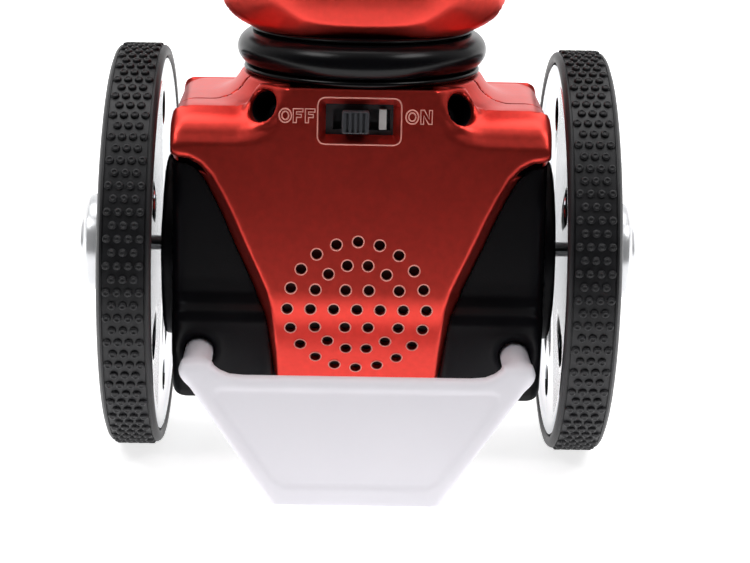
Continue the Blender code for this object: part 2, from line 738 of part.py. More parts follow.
def waist():
    turned(
        "neck_post",
        ((14, 113.4), (27, 113.4), (27, 115.4), (17, 118), (17, 150.2), (14, 150.2)),
        DARK,
        upright(BODY_Y),
        steps=24,
    )
    turned(
        "lower_waist_ring",
        ((30, COLLAR_Z + GAP), (38.8, COLLAR_Z + GAP), (39.6, 132.4), (38.6, 133.2), (30, 133.2)),
        GLOSS,
        upright(BODY_Y),
        steps=28,
    )
    section = []
    outward = range(WAIST_SIDES + 1)
    for radius, steps in ((WAIST_TUBE_R, outward), (WAIST_TUBE_R - 1.8, reversed(outward))):
        for step in steps:
            angle = WAIST_WRAP * (1 - 2 * step / WAIST_SIDES)
            height = WAIST_RING_Z + 0.92 * radius * math.sin(angle)
            section.append((WAIST_RING_R + radius * math.cos(angle), height))
    turned("waist_ring", section, GLOSS, upright(BODY_Y), steps=28)
    turned(
        "upper_neck",
        ((17.4, 145.6), (36.6, 145.6), (NECK_R, 146.4), (36.4, 147.4), (34.0, 148.9), (17.4, 148.9)),
        GLOSS,
        upright(BODY_Y),
        steps=28,
    )


def half_lofted(name, rows, facing, grow=0.0, finish=None, overrun=0.0, steps=24):
    """The front or rear half of such a stack, run straight on past its parting plane by overrun."""
    bm = bmesh.new()
    rings = []
    for z, half_x, half_y, power in rows:
        curve = list(superellipse(half_x + grow, half_y + grow, power, steps))[1 : steps // 2]
        width = half_x + grow
        outline = [(width, GAP / 2), *curve, (-width, GAP / 2)]
        if overrun:
            outline = [(width, -overrun), *outline, (-width, -overrun)]
        rings.append([bm.verts.new(at(x, BODY_Y + facing * y, z)) for x, y in outline])
    count = len(rings[0])
    for lower, upper in zip(rings, rings[1:]):
        for i in range(count):
            j = (i + 1) % count
            bm.faces.new((lower[i], lower[j], upper[j], upper[i]))
    bm.faces.new(rings[0])
    bm.faces.new(rings[-1])
    return from_bmesh(name, bm, finish)


def shell_pair(low_name, high_name, rows, hollow_top):
    """A hollow red body in two halves, with the last row but one as its hollow's top, at hollow_top."""
    foot, size = rows[0][0], rows[0][1:]
    hollow_rows = ((foot - 0.6, *size), (foot + 0.4, *size)) + rows[1:-2] + ((hollow_top, *rows[-2][1:]),)
    shells = []
    for name, facing in ((low_name, -1), (high_name, 1)):
        shell = half_lofted(name, rows, facing, finish=RED)
        inner = half_lofted(name + "_inner", hollow_rows, facing, grow=-WALL, overrun=5.0)
        boolean(shell, inner, solver="MANIFOLD")
        shells.append(shell)
    return shells


def torso():
    shells = shell_pair("torso_rear_shell", "torso_front_shell", TORSO_ROWS, 211.0)
    for shell in shells:
        neck_hole = ring(shell.name + "_neck_hole", 0, 8.6, 205, 220, matrix=upright(BODY_Y), steps=16)
        boolean(shell, neck_hole, solver="MANIFOLD")
        for side in (-1, 1):
            axis = side_axis(side, BODY_Y, SHOULDER_Z)
            cut = ring(f"{shell.name}_shoulder_{side}", 0, 6.0, 40, 56, matrix=axis, steps=16)
            boolean(shell, cut, solver="MANIFOLD")
    facing_front = Matrix.Translation(at(0, BODY_Y, 0)) @ Matrix.Rotation(-math.pi / 2, 4, "X")
    panel = [(x, -z) for x, z in rounded_rectangle(44, 30, 7, centre=(0, 178))]
    pocket = prism("chest_pocket", offset_outline(panel, GAP), 39.3, 50, matrix=facing_front)
    boolean(shells[1], pocket, solver="MANIFOLD")
    prism("chest_panel", panel, 39.6, 42.4, BLACK, facing_front, bevel=0.6)
    frame = turned(
        "torso_frame",
        ((0, 150.6), (20, 150.6), (20, 153), (7.6, 156), (7.6, 222), (0, 222)),
        DARK,
        upright(BODY_Y),
        steps=24,
    )
    bar = ring("shoulder_bar", 0, 5.4, -50.0, 50.0, matrix=side_axis(1, BODY_Y, SHOULDER_Z), steps=16)
    boolean(frame, bar, "UNION")


def head():
    _, front = shell_pair("head_rear_shell", "head_front_shell", HEAD_ROWS, 254.5)
    boolean(front, block("face_cut", (-FAR, HEAD_FACE_Y, 200), (FAR, FAR, 280)), solver="MANIFOLD")
    hollow_cut = block("face_wall_cut", (-FAR, HEAD_FACE_Y - WALL, 190), (FAR, FAR, 290))
    boolean(bpy.data.objects["head_front_shell_inner"], hollow_cut, solver="MANIFOLD")
    facing_front = Matrix.Translation(at(0, 0, 0)) @ Matrix.Rotation(-math.pi / 2, 4, "X")
    visor_outline = [(x, -y) for x, y in rounded_rectangle(60, 31, 13, steps=5, centre=(0, 236.5))]
    prism("visor", visor_outline, HEAD_FACE_Y + GAP, HEAD_FACE_Y + 3.2, GLOSS, facing_front, bevel=0.8)
    for label, side in SIDES:
        eye = Matrix.Translation(at(side * 12.5, 0, 238)) @ Matrix.Rotation(-math.pi / 2, 4, "X")
        ring(label + "_eye", 0, 5.0, HEAD_FACE_Y + 3.5, HEAD_FACE_Y + 4.9, LENS, eye, steps=16)
        ear = side_axis(side, BODY_Y, 236)
        ring(label + "_ear_cap", 0, 10.0, 39.4, 43.2, BLACK, ear, steps=20, edge=1.0)


def stadium(start, start_r, end, end_r, steps=8):
    """The outline round two circles, as (y, z) points."""
    heading = math.atan2(end[1] - start[1], end[0] - start[0])
    points = []
    for centre, radius, first in ((end, end_r, -math.pi / 2), (start, start_r, math.pi / 2)):
        for step in range(steps + 1):
            angle = heading + first + math.pi * step / steps
            points.append((centre[0] + radius * math.cos(angle), centre[1] + radius * math.sin(angle)))
    return points


def arm(label, side):
    shoulder, elbow = (BODY_Y, SHOULDER_Z), (BODY_Y, ELBOW_Z)
    upper = stadium(shoulder, 11.0, elbow, 8.5)
    across(label + "_upper_arm", upper, side * 50.6, side * 61.0, RED, 1.6, shoulder)
    lower = stadium(elbow, 8.2, (BODY_Y + 28, ELBOW_Z + 1), 7.0)
    across(label + "_forearm", lower, side * 61.4, side * 71.0, BLACK, 1.6, elbow)
    fist = rounded_rectangle(19, 15, 5, centre=(BODY_Y + 45.0, ELBOW_Z + 1.5))
    across(label + "_hand", fist, side * 59.0, side * 73.0, WHITE, 2.4, elbow)


def hang(pivot_name, spot, names):
    """Parents the named pieces to an empty on their joint's axis."""
    pivot = bpy.data.objects.new(pivot_name, None)
    PARTS.objects.link(pivot)
    pivot.location = spot
    bpy.context.view_layer.update()
    for name in names:
        piece = bpy.data.objects[name]
        piece.parent = pivot
        piece.matrix_parent_inverse = pivot.matrix_world.inverted()


def build():
    rear_cover()
    front_cover()
    for label, side in SIDES:
        side_housing(label, side)
        drive_train(label, side)
        wheel(label, side)
        arm(label, side)
    stand()
    switch()
    speaker()
    inner_pieces()
    waist()
    torso()
    head()
    hang("waist_axis", at(0, BODY_Y, COLLAR_Z), (
        "upper_neck", "torso_frame", "torso_rear_shell", "torso_front_shell", "chest_panel"))
    hang("head_axis", at(0, BODY_Y, 216), (
        "head_rear_shell", "head_front_shell", "visor", "left_eye", "right_eye", "left_ear_cap",
        "right_ear_cap"))


build()
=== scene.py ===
import json
import math

import bpy
import numpy as np
from mathutils import Matrix, Vector


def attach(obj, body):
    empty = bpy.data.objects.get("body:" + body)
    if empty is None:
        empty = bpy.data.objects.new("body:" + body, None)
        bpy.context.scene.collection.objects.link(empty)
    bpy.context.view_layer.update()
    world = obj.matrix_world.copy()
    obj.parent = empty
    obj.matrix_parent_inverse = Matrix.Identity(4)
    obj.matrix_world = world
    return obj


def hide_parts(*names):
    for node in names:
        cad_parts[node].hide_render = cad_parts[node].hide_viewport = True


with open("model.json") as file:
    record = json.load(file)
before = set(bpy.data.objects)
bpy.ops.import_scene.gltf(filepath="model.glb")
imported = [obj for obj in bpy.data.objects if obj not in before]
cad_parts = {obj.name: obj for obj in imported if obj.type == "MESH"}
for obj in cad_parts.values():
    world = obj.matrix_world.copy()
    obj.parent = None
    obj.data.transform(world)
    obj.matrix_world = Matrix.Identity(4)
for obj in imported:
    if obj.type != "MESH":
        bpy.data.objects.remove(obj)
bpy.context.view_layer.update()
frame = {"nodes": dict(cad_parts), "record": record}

# The pieces' shapes are in millimetres in the part's own frame, and MM turns them into metres where a mesh is
# made. The stage and the lights are in metres.
MM = 0.001
SIDES = (("left", -1), ("right", 1))
AXLE_Y, AXLE_Z = 1.0, 69.0
BODY_Y = -4.0  # the body's middle plane and the waist's axis
PARTING_D = 15.0  # the seam's distance behind the body's middle plane
COLLAR_Z = 131.3
SHOULDER_TOP, SHOULDER_FOOT = 124.6, 109.2
CASING_HALF_X, CASING_D = 61.6, 38.6
UNDERSIDE = 25.8
PANEL_D = 41.3
WINDOW_X, WINDOW_Z = -0.7, 121.0
WINDOW_HALF_X, WINDOW_HALF_Z, WINDOW_CORNER = 13.2, 7.3, 2.6
BOSS_D = 35.9  # where the window's tapering walls end
SCREW_X, SCREW_D, SCREW_Z = 32.0, 34.6, 124.7
SCREW_TURN, SCREW_RISE = math.radians(40), math.radians(22)
RECESS_R, BOSS_R, RECESS_DEPTH = 5.5, 7.2, 8.5
GRILLE_X, GRILLE_Z, GRILLE_PITCH, GRILLE_R = -0.4, 58.7, 7.59, 1.75
PEG_X, PEG_Z, PEG_R = 52.4, 40.9, 4.7
DISC_HOLE_R, DISC_HOLE_CIRCLE = 5.6, 47.5
TREAD_R = 68.0
TORSO_FOOT, TORSO_TOP = 147.6, 213.1
WALL = 2.0


# ---------------------------------------------------------------- meshes

def build_mesh(name, verts, faces, finish, body, sharp=38.0):
    mesh = bpy.data.meshes.new(name)
    mesh.from_pydata((np.asarray(verts, float) * MM).tolist(), [], faces)
    mesh.materials.append(finish)
    mesh.shade_smooth()
    mesh.set_sharp_from_angle(angle=math.radians(sharp))
    obj = bpy.data.objects.new(name, mesh)
    bpy.context.scene.collection.objects.link(obj)
    if body:
        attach(obj, body)
    return obj


def x_span(side, inner, outer):
    """The lower and upper x of a box between two distances from the middle plane, on the given side."""
    return sorted((side * inner, side * outer))


def cutter(name, verts, faces):
    return build_mesh(name, verts, faces, None, None)


def cut(obj, cutters, sharp=38.0):
    """Applies the cutters one after another and removes them."""
    for other in cutters:
        modifier = obj.modifiers.new("cut", "BOOLEAN")
        modifier.operation = "DIFFERENCE"
        modifier.object = other
        modifier.solver = "MANIFOLD"
    bpy.context.view_layer.update()
    shape = bpy.data.meshes.new_from_object(obj.evaluated_get(bpy.context.evaluated_depsgraph_get()))
    obj.modifiers.clear()
    obj.data = shape
    shape.shade_smooth()
    shape.set_sharp_from_angle(angle=math.radians(sharp))
    for other in cutters:
        bpy.data.objects.remove(other, do_unlink=True)


def surface(name, field, low, high, step, finish, body, sharp=38.0):
    """Meshes the surface where field(x, y, z) is 0, with one vertex in each cell that it crosses."""
    axes = [np.arange(lo, hi + step, step) for lo, hi in zip(low, high)]
    size = tuple(len(axis) for axis in axes)
    grid = field(axes[0][:, None, None], axes[1][None, :, None], axes[2][None, None, :])
    grid = np.broadcast_to(grid, size)
    inside = grid < 0
    cells = tuple(n - 1 for n in size)
    total, count = np.zeros((3, *cells)), np.zeros(cells, int)
    crossings = []
    for axis in range(3):
        first = [slice(None)] * 3
        second = [slice(None)] * 3
        first[axis], second[axis] = slice(None, -1), slice(1, None)
        a, b = grid[tuple(first)], grid[tuple(second)]
        crossed = inside[tuple(first)] != inside[tuple(second)]
        share = np.where(crossed, a / np.where(crossed, a - b, 1.0), 0.0)
        crossings.append((crossed, inside[tuple(first)]))
        other = [(axis + 1) % 3, (axis + 2) % 3]
        for i in (0, 1):
            for j in (0, 1):
                pick = [slice(None)] * 3
                pick[other[0]] = slice(i, size[other[0]] - 1 + i)
                pick[other[1]] = slice(j, size[other[1]] - 1 + j)
                here = crossed[tuple(pick)]
                count += here
                total[axis] += share[tuple(pick)]
                total[other[0]] += here * i
                total[other[1]] += here * j
    active = count > 0
    number = np.full(cells, -1)
    number[active] = np.arange(active.sum())
    where = np.argwhere(active)
    points = where + (total[:, active] / count[active]).T
    points = points * step + np.array([axis[0] for axis in axes])
    faces = []
    for axis in range(3):
        crossed, below = crossings[axis]
        other = [(axis + 1) % 3, (axis + 2) % 3]
        spots = np.argwhere(crossed)
        keep = np.ones(len(spots), bool)
        for k in other:
            keep &= (spots[:, k] > 0) & (spots[:, k] < size[k] - 1)
        spots = spots[keep]
        corners = []
        for i, j in ((-1, -1), (0, -1), (0, 0), (-1, 0)):
            cell = spots.copy()
            cell[:, other[0]] += i
            cell[:, other[1]] += j
            corners.append(number[tuple(cell.T)])
        quads = np.stack(corners, 1)
        outward = below[tuple(spots.T)]
        quads[~outward] = quads[~outward][:, ::-1]
        faces.append(quads)
    faces = np.concatenate(faces)
    points = settle(field, points, step)
    return build_mesh(name, points, faces.tolist(), finish, body, sharp)


def settle(field, points, step, rounds=3):
    """Moves points onto the surface along the field's slope."""
    near = 0.04
    for _ in range(rounds):
        x, y, z = points.T
        value = field(x, y, z)
        slope = np.stack([
            field(x + near, y, z) - field(x - near, y, z),
            field(x, y + near, z) - field(x, y - near, z),
            field(x, y, z + near) - field(x, y, z - near),
        ]) / (2 * near)
        move = value / np.maximum((slope**2).sum(0), 0.2)
        move = np.clip(move, -0.5 * step, 0.5 * step)
        points = points - (slope * move).T
    return points


def lathe(profile, place, steps):
    """A closed (radius, height) profile turned about the axis that place puts points round."""
    profile = np.asarray(profile, float)
    following = np.roll(profile, -1, 0)
    area = (profile[:, 0] * following[:, 1] - following[:, 0] * profile[:, 1]).sum()
    if area > 0:
        profile = profile[::-1]
    angles = 2 * np.pi * np.arange(steps) / steps
    radius, height = profile[:, 0][None, :], profile[:, 1][None, :]
    cos, sin = np.cos(angles)[:, None], np.sin(angles)[:, None]
    verts = place(radius * cos, radius * sin, height + 0 * cos)
    count = len(profile)
    faces = []
    for i in range(steps):
        j = (i + 1) % steps
        for k in range(count):
            m = (k + 1) % count
            faces.append((i * count + k, j * count + k, j * count + m, i * count + m))
    return verts.reshape(-1, 3), faces


def wheel_place(side):
    """Height runs outwards along X from the middle plane, on the given side."""
    return lambda u, v, h: np.stack([side * h, AXLE_Y + side * u, AXLE_Z + v], -1)


def upright_place(u, v, h):
    return np.stack([u, BODY_Y + v, h], -1)


def turned(name, profile, place, finish, body, steps=128, sharp=38.0):
    verts, faces = lathe(profile, place, steps)
    return build_mesh(name, verts, faces, finish, body, sharp)


def soften(points, radius, parts=4):
    """A closed outline with each corner rounded off, starting at most radius before it."""
    points = [np.array(p, float) for p in points]
    rounded = []
    for i, here in enumerate(points):
        before, after = points[i - 1], points[(i + 1) % len(points)]
        back, ahead = before - here, after - here
        start = here + back * min(0.45, radius / max(np.linalg.norm(back), 1e-9))
        end = here + ahead * min(0.45, radius / max(np.linalg.norm(ahead), 1e-9))
        for k in range(parts + 1):
            t = k / parts
            rounded.append((1 - t) ** 2 * start + 2 * t * (1 - t) * here + t * t * end)
    return rounded


def prism(outlines):
    """A closed body through several outlines of the same count, each a list of 3-D points."""
    verts = np.concatenate([np.asarray(o, float) for o in outlines])
    count = len(outlines[0])
    faces = []
    for k in range(len(outlines) - 1):
        for i in range(count):
            j = (i + 1) % count
            faces.append((k * count + i, k * count + j, (k + 1) * count + j, (k + 1) * count + i))
    faces.append(tuple(range(count - 1, -1, -1)))
    faces.append(tuple(range((len(outlines) - 1) * count, len(outlines) * count)))
    first = np.asarray(outlines[0], float)
    centre = verts.mean(0)
    normal = np.zeros(3)
    for i in range(count):
        normal += np.cross(first[i] - first[0], first[(i + 1) % count] - first[0])
    if np.dot(normal, centre - first.mean(0)) < 0:
        faces = [tuple(reversed(f)) for f in faces]
    return verts, faces


# ---------------------------------------------------------------- fields

def smooth_min(a, b, k):
    h = np.maximum(k - np.abs(a - b), 0.0) / k
    return np.minimum(a, b) - h * h * k / 4.0


def smooth_max(a, b, k):
    return -smooth_min(-a, -b, k)


def polygon(u, v, points):
    """Signed distance to a closed outline, negative inside."""
    points = np.asarray(points, float)
    nearest = None
    sign = 1.0
    for (ax, ay), (bx, by) in zip(points, np.roll(points, -1, 0)):
        ex, ey = bx - ax, by - ay
        wx, wy = u - ax, v - ay
        t = np.clip((wx * ex + wy * ey) / (ex * ex + ey * ey), 0.0, 1.0)
        square = (wx - ex * t) ** 2 + (wy - ey * t) ** 2
        nearest = square if nearest is None else np.minimum(nearest, square)
        above, below = v >= ay, v < by
        left = ex * wy > ey * wx
        flip = (above & below & left) | (~above & ~below & ~left)
        sign = np.where(flip, -sign, sign)
    return sign * np.sqrt(nearest)


def rounded_box(u, v, half_u, half_v, radius):
    qu, qv = np.abs(u) - half_u + radius, np.abs(v) - half_v + radius
    outside = np.hypot(np.maximum(qu, 0), np.maximum(qv, 0))
    return outside + np.minimum(np.maximum(qu, qv), 0) - radius


def mirrored(outline):
    return list(outline) + [(-x, z) for x, z in reversed(outline)]


TONGUE = mirrored((
    (22.0, 142.0), (24.1, 131.2), (25.3, 126.3), (26.4, 122.4), (27.9, 118.8), (30.2, 116.2), (34.2, 114.4),
    (40.0, 113.7), (80.0, 113.4), (80.0, 109.6), (60.0, 109.4), (55.7, 108.8), (51.6, 106.6), (48.0, 102.6),
    (44.6, 96.6), (41.2, 89.8), (36.0, 77.9), (32.4, 70.2), (29.9, 64.6), (28.4, 59.0), (27.5, 52.0),
    (26.6, 42.0), (25.4, 10.0)))


def face_depth(z):
    """How far the T-shaped panel's face lies behind the body's middle plane."""
    upper = PANEL_D + 0.2 - 0.03 * (z - 56)
    lower = PANEL_D + 0.2 + 0.50 * (z - 53.0)
    return smooth_min(upper, lower, 6.0)


def tongue(x, d, z, grow=0.0):
    """The T-shaped panel: its walls lean out from the face's outline, more above its arms than below."""
    outline = polygon(x, z, TONGUE)
    high = 1.0 / (1.0 + np.exp(-(z - 113.0) * 1.2))
    slope = 0.42 + 0.50 * high
    edge = 1.0 + 0.5 * high
    behind = face_depth(z) - d
    walls = (outline - slope * behind) / np.sqrt(1 + slope * slope)
    walls = smooth_max(walls, np.abs(x) - CASING_HALF_X + 0.2, 2.5)
    return smooth_max(walls, -behind / 1.04, edge) - grow


def shoulders(x, d, z):
    """A block with a sloping back, joined to a cone that rises to the collar."""
    across = rounded_box(x, z - SHOULDER_TOP / 2, CASING_HALF_X, SHOULDER_TOP / 2, 7.5)
    back = (np.abs(d) - 38.9 + 0.45 * (z - 115.6)) / 1.1
    top = z - SHOULDER_TOP + 0.02 * np.abs(d)
    back = smooth_max(back, np.abs(d) - CASING_D, 1.5)
    block = smooth_max(across, smooth_max(back, top, 11.0), 4.0)
    radius = np.hypot(x, d)
    cone = (radius - 40.2 - 0.62 * (COLLAR_Z - z)) * 0.85
    cone = smooth_max(cone, np.abs(d) - CASING_D, 3.0)
    return smooth_max(smooth_min(block, cone, 6.0), np.abs(d) - CASING_D - 0.1, 1.5)


def screw_direction(side):
    """The recessed screw's axis, outwards, as (x, depth, z)."""
    flat = math.cos(SCREW_RISE)
    return side * math.sin(SCREW_TURN) * flat, math.cos(SCREW_TURN) * flat, math.sin(SCREW_RISE)


def screw_axis(side, x, d, z):
    """Distance from the recessed screw's axis, and distance out along it from the casing's surface."""
    ax, ad, az = screw_direction(side)
    px, pd, pz = x - side * SCREW_X, d - SCREW_D, z - SCREW_Z
    along = px * ax + pd * ad + pz * az
    away = np.sqrt(np.maximum((px - along * ax) ** 2 + (pd - along * ad) ** 2 + (pz - along * az) ** 2, 1e-9))
    return away, along


def cover(x, d, z, rear):
    """The casing's shell, where d runs outwards from the middle plane. Only the rear has the recesses."""
    body = shoulders(x, d, z)
    panel = tongue(x, d, z)
    outside = smooth_min(smooth_max(body, SHOULDER_FOOT - z, 0.4), smooth_max(panel, 29.0 - d, 0.4), 1.6)
    open_back = np.maximum(panel, 29.5 - d - 3.0 * np.maximum(SHOULDER_FOOT - z, 0.0))
    for side in (-1, 1):
        away, along = screw_axis(side, x, d, z)
        outside = smooth_min(outside, smooth_max(away - 6.8, np.abs(along + 3.0) - 3.0, 1.0), 2.0)
    hollow = smooth_min(smooth_max(body, SHOULDER_FOOT - 9.0 - z, 1.0), open_back, 1.6) + WALL
    shell = np.maximum(outside, -hollow)
    if rear:
        frame_edge = rounded_box(x - WINDOW_X, z - WINDOW_Z, 14.6, 8.6, 3.0)
        boss = np.maximum(np.maximum(frame_edge, outside), BOSS_D - d)
        shell = np.minimum(shell, boss)
        for side in (-1, 1):
            away, along = screw_axis(side, x, d, z)
            cup = np.maximum(np.maximum(away - BOSS_R, -along - RECESS_DEPTH - WALL), outside + 0.05)
            shell = np.minimum(shell, cup)
            shell = smooth_max(shell, -np.maximum(away - RECESS_R, -along - RECESS_DEPTH), 0.7)
    shell = smooth_max(shell, z - COLLAR_Z, 0.8)
    shell = smooth_max(shell, UNDERSIDE - z, 0.5)
    return shell


def rear_field(x, y, z):
    d = BODY_Y - y
    return smooth_max(cover(x, d, z, True), PARTING_D + 0.12 - d, 0.5)


def front_field(x, y, z):
    d = y - BODY_Y
    return smooth_max(cover(x, d, z, False), -PARTING_D + 0.12 - d, 0.5)


HOUSING = (
    (-35.5, 108.9), (-35.5, 66.0), (-35.7, 61.0), (-37.0, 58.0), (-39.3, 55.6), (-40.1, 52.5), (-39.6, 48.6),
    (-35.4, 27.4), (-33.6, 24.9), (-30.4, 23.8), (20.0, 24.2), (26.0, 28.0), (30.0, 34.0), (32.0, 44.0),
    (32.0, 108.9))


def housing_field(side):
    """The gearbox housing of one side, cut away for the casing's panels, the axle and the stand's peg."""
    def field(x, y, z):
        h = side * x
        body = polygon(y, z, HOUSING)
        outer = 61.5 + 3.1 * np.clip((y + 20.0) / 25.0, 0.0, 1.0)
        body = smooth_max(body, np.maximum(27.3 - h, h - outer), 5.0)
        body = smooth_max(body, z - 108.9, 0.6)
        away = np.hypot(y - AXLE_Y, z - AXLE_Z)
        boss = smooth_max(away - 31.0, h - 65.6, 1.4)
        boss = np.maximum(boss, 58.0 - h)
        body = smooth_min(body, boss, 0.8)
        for depth in (BODY_Y - y, y - BODY_Y):
            clear = np.maximum(tongue(x, depth, z, 0.3), 28.7 - depth)
            body = smooth_max(body, -clear, 0.5)
        peg = np.hypot(x - side * PEG_X, z - PEG_Z)
        dish = peg - PEG_R - 0.5 - 0.9 * np.maximum(-36.2 - y, 0.0)
        body = smooth_max(body, -np.maximum(dish, y + 20.0), 1.6)
        return smooth_max(body, -np.maximum(away - 5.4, 50.0 - h), 0.5)
    return field


STAND = mirrored((
    (26.0, -4.0), (28.0, 0.4), (30.0, 3.4), (54.9, 38.2), (56.8, 40.6), (57.2, 42.0), (56.4, 45.0),
    (47.2, 45.0), (46.3, 43.6), (44.4, 42.2), (41.4, 41.0), (37.0, 40.6)))
STAND_RECESS = mirrored(((23.0, 5.4), (26.6, 7.4), (45.6, 33.6), (45.4, 35.6), (43.6, 36.4)))
STAND_LEAN = math.atan2(6.9, 41.0)
STAND_FOOT_Y = -65.7


def stand_field(x, y, z):
    """The leaning plate with its shallow recess, and the two pegs at its ears."""
    up = (y - STAND_FOOT_Y) * math.sin(STAND_LEAN) + z * math.cos(STAND_LEAN)
    out = -(y - STAND_FOOT_Y) * math.cos(STAND_LEAN) + z * math.sin(STAND_LEAN)
    plate = smooth_max(polygon(x, up, STAND), np.abs(out) - 4.2, 3.0)
    inset = polygon(x, up, STAND_RECESS)
    plate = smooth_max(plate, -smooth_max(inset, 3.7 - out, 1.2), 1.2)
    along = np.clip(y, -57.0, -29.5)
    peg = np.sqrt((np.abs(x) - PEG_X) ** 2 + (z - PEG_Z) ** 2 + (y - along) ** 2 + 1e-9) - PEG_R
    return smooth_max(smooth_min(plate, peg, 2.2), -z, 0.6)


def blurred(rows, spread=1.6):
    """Smooth curves through rows of (z, a, b, n), as a function of z."""
    rows = np.asarray(rows, float)
    z = np.arange(rows[0, 0] - 12, rows[-1, 0] + 12, 0.25)
    kernel = np.exp(-0.5 * (np.arange(-24, 25) * 0.25 / spread) ** 2)
    kernel /= kernel.sum()
    columns = []
    for k in (1, 2, 3):
        low = rows[0, k] + (z - rows[0, 0]) * (rows[1, k] - rows[0, k]) / (rows[1, 0] - rows[0, 0])
        high = rows[-1, k] + (z - rows[-1, 0]) * (rows[-1, k] - rows[-2, k]) / (rows[-1, 0] - rows[-2, 0])
        values = np.interp(z, rows[:, 0], rows[:, k])
        values = np.where(z < rows[0, 0], low, np.where(z > rows[-1, 0], high, values))
        columns.append(np.convolve(np.pad(values, 24, mode="edge"), kernel, mode="valid"))
    return lambda at: [np.interp(at, z, column) for column in columns]


TORSO_ROWS = blurred((
    (147.4, 35.2, 30.4, 2.1), (149.2, 38.9, 32.4, 2.15), (152.0, 42.2, 33.9, 2.3), (156.0, 44.2, 35.4, 2.4),
    (165.0, 46.2, 38.0, 2.5), (172.0, 47.4, 39.2, 2.6), (184.0, 49.0, 39.8, 2.8), (197.0, 46.8, 37.0, 2.7),
    (205.0, 41.5, 33.0, 2.5), (210.0, 33.0, 27.0, 2.3), (212.4, 24.0, 20.0, 2.1), (213.2, 17.0, 15.0, 2.0)))
HEAD_ROWS = blurred((
    (216.0, 25.0, 22.0, 2.3), (218.5, 31.5, 28.0, 2.5), (225.0, 37.5, 33.0, 2.9), (236.0, 39.0, 34.0, 2.9),
    (246.0, 37.0, 32.0, 2.8), (252.0, 31.5, 27.5, 2.6), (255.4, 22.0, 19.0, 2.3), (256.8, 12.0, 10.0, 2.1)),
    1.2)


def stacked(rows, x, d, z, low, high, edge):
    """A body of rounded level sections, cut off at low and high."""
    a, b, n = rows(z)
    body = ((np.abs(x) / a) ** n + (np.abs(d) / b) ** n + 1e-9) ** (1 / n) - 1.0
    body = body * np.minimum(a, b) * 0.95
    return smooth_max(body, np.maximum(low - z, z - high), edge)


BACK_PANEL = mirrored((
    (0.4, 151.2), (8.0, 151.5), (14.5, 152.2), (19.5, 153.4), (22.6, 155.8), (25.8, 160.0), (33.0, 181.0),
    (31.0, 190.0), (22.0, 197.0), (0.4, 198.5)))
BACK_PANEL_FOOT = 146.8
CHEST_PANEL = mirrored((
    (0.4, 162.4), (17.0, 162.4), (22.6, 168.0), (22.6, 188.0), (17.0, 193.6), (0.4, 193.6)))
SHOULDER, ELBOW = (BODY_Y, 192.0), (BODY_Y, 170.0)


def torso_field(facing):
    """One half of the torso: a raised panel on the back, a framed pocket on the chest."""
    def field(x, y, z):
        d = facing * (y - BODY_Y)
        body = stacked(TORSO_ROWS, x, d, z, TORSO_FOOT, TORSO_TOP, 0.8)
        outside = body
        if facing < 0:
            edge = polygon(x, z, BACK_PANEL)
            face = smooth_min(42.4 - 0.012 * (z - 152.0), 42.4 + 0.36 * (z - 166.0), 4.0)
            behind = face - 0.0016 * x * x - d
            raised = smooth_max((edge - 1.5 * behind) / 1.8, -behind, 0.4)
            raised = smooth_max(np.maximum(raised, 20.0 - d), body - 4.4, 0.6)
            outside = smooth_min(body, smooth_max(raised, BACK_PANEL_FOOT - z, 0.6), 0.5)
        else:
            edge = polygon(x, z, CHEST_PANEL)
            pocket = np.maximum(edge - 0.4, 39.2 - d)
            groove = np.maximum(np.abs(edge - 2.0) - 0.35, 35.0 - d)
            outside = smooth_max(body, -pocket, 0.4)
            outside = smooth_max(outside, -np.maximum(groove, -(body + 0.5)), 0.3)
        shell = np.maximum(outside, -(body + WALL))
        shell = smooth_max(shell, 6.0 - np.hypot(d, z - SHOULDER[1]), 0.8)
        shell = smooth_max(shell, 8.6 - np.hypot(x, d), 0.6)
        return smooth_max(shell, 0.1 - d, 0.4)
    return field


def head_field(facing):
    """One half of the head, with a groove round it and one each side of its crest."""
    def field(x, y, z):
        d = facing * (y - BODY_Y)
        body = stacked(HEAD_ROWS, x, d, z, 216.0, 257.0, 0.8)
        crest = np.maximum(np.abs(x) - 5.0, 249.0 - z)
        line = np.maximum(np.abs(z - 225.5) - 0.45, -(body + 0.6))
        outside = smooth_max(body, -line, 0.4)
        outside = smooth_max(outside, -np.maximum(np.abs(crest) - 0.4, -(body + 0.5)), 0.4)
        inner = body + WALL
        if facing > 0:
            outside = smooth_max(outside, d - 29.0, 3.0)
            inner = np.maximum(inner, d - 26.5)
        shell = np.maximum(outside, -inner)
        shell = smooth_max(shell, 9.0 - np.hypot(x, d) - 100.0 * (z > 230.0), 0.4)
        return smooth_max(shell, 0.1 - d, 0.4)
    return field


def stadium(y, z, start, start_r, end, end_r):
    """Signed distance to a long outline with a round end about each of two points."""
    ey, ez = end[0] - start[0], end[1] - start[1]
    t = np.clip(((y - start[0]) * ey + (z - start[1]) * ez) / (ey * ey + ez * ez), 0.0, 1.0)
    return np.hypot(y - start[0] - t * ey, z - start[1] - t * ez) - start_r - t * (end_r - start_r)


def arm_field(side, ends, low, high, caps):
    """A flat arm with rounded edges, and a round sunk cap seat at each joint on its outer face."""
    def field(x, y, z):
        h = side * x
        body = stadium(y, z, *ends)
        body = smooth_max(body, np.maximum(low - h, h - high), 3.4)
        for centre, radius in caps:
            ring = np.abs(np.hypot(y - centre[0], z - centre[1]) - radius) - 0.45
            body = smooth_max(body, -np.maximum(ring, high - 0.8 - h), 0.5)
        inset = np.maximum(stadium(y, z, *ends) + 4.0, high - 0.7 - h)
        for centre, radius in caps:
            inset = np.maximum(inset, radius + 2.2 - np.hypot(y - centre[0], z - centre[1]))
        return smooth_max(body, -inset, 0.7)
    return field


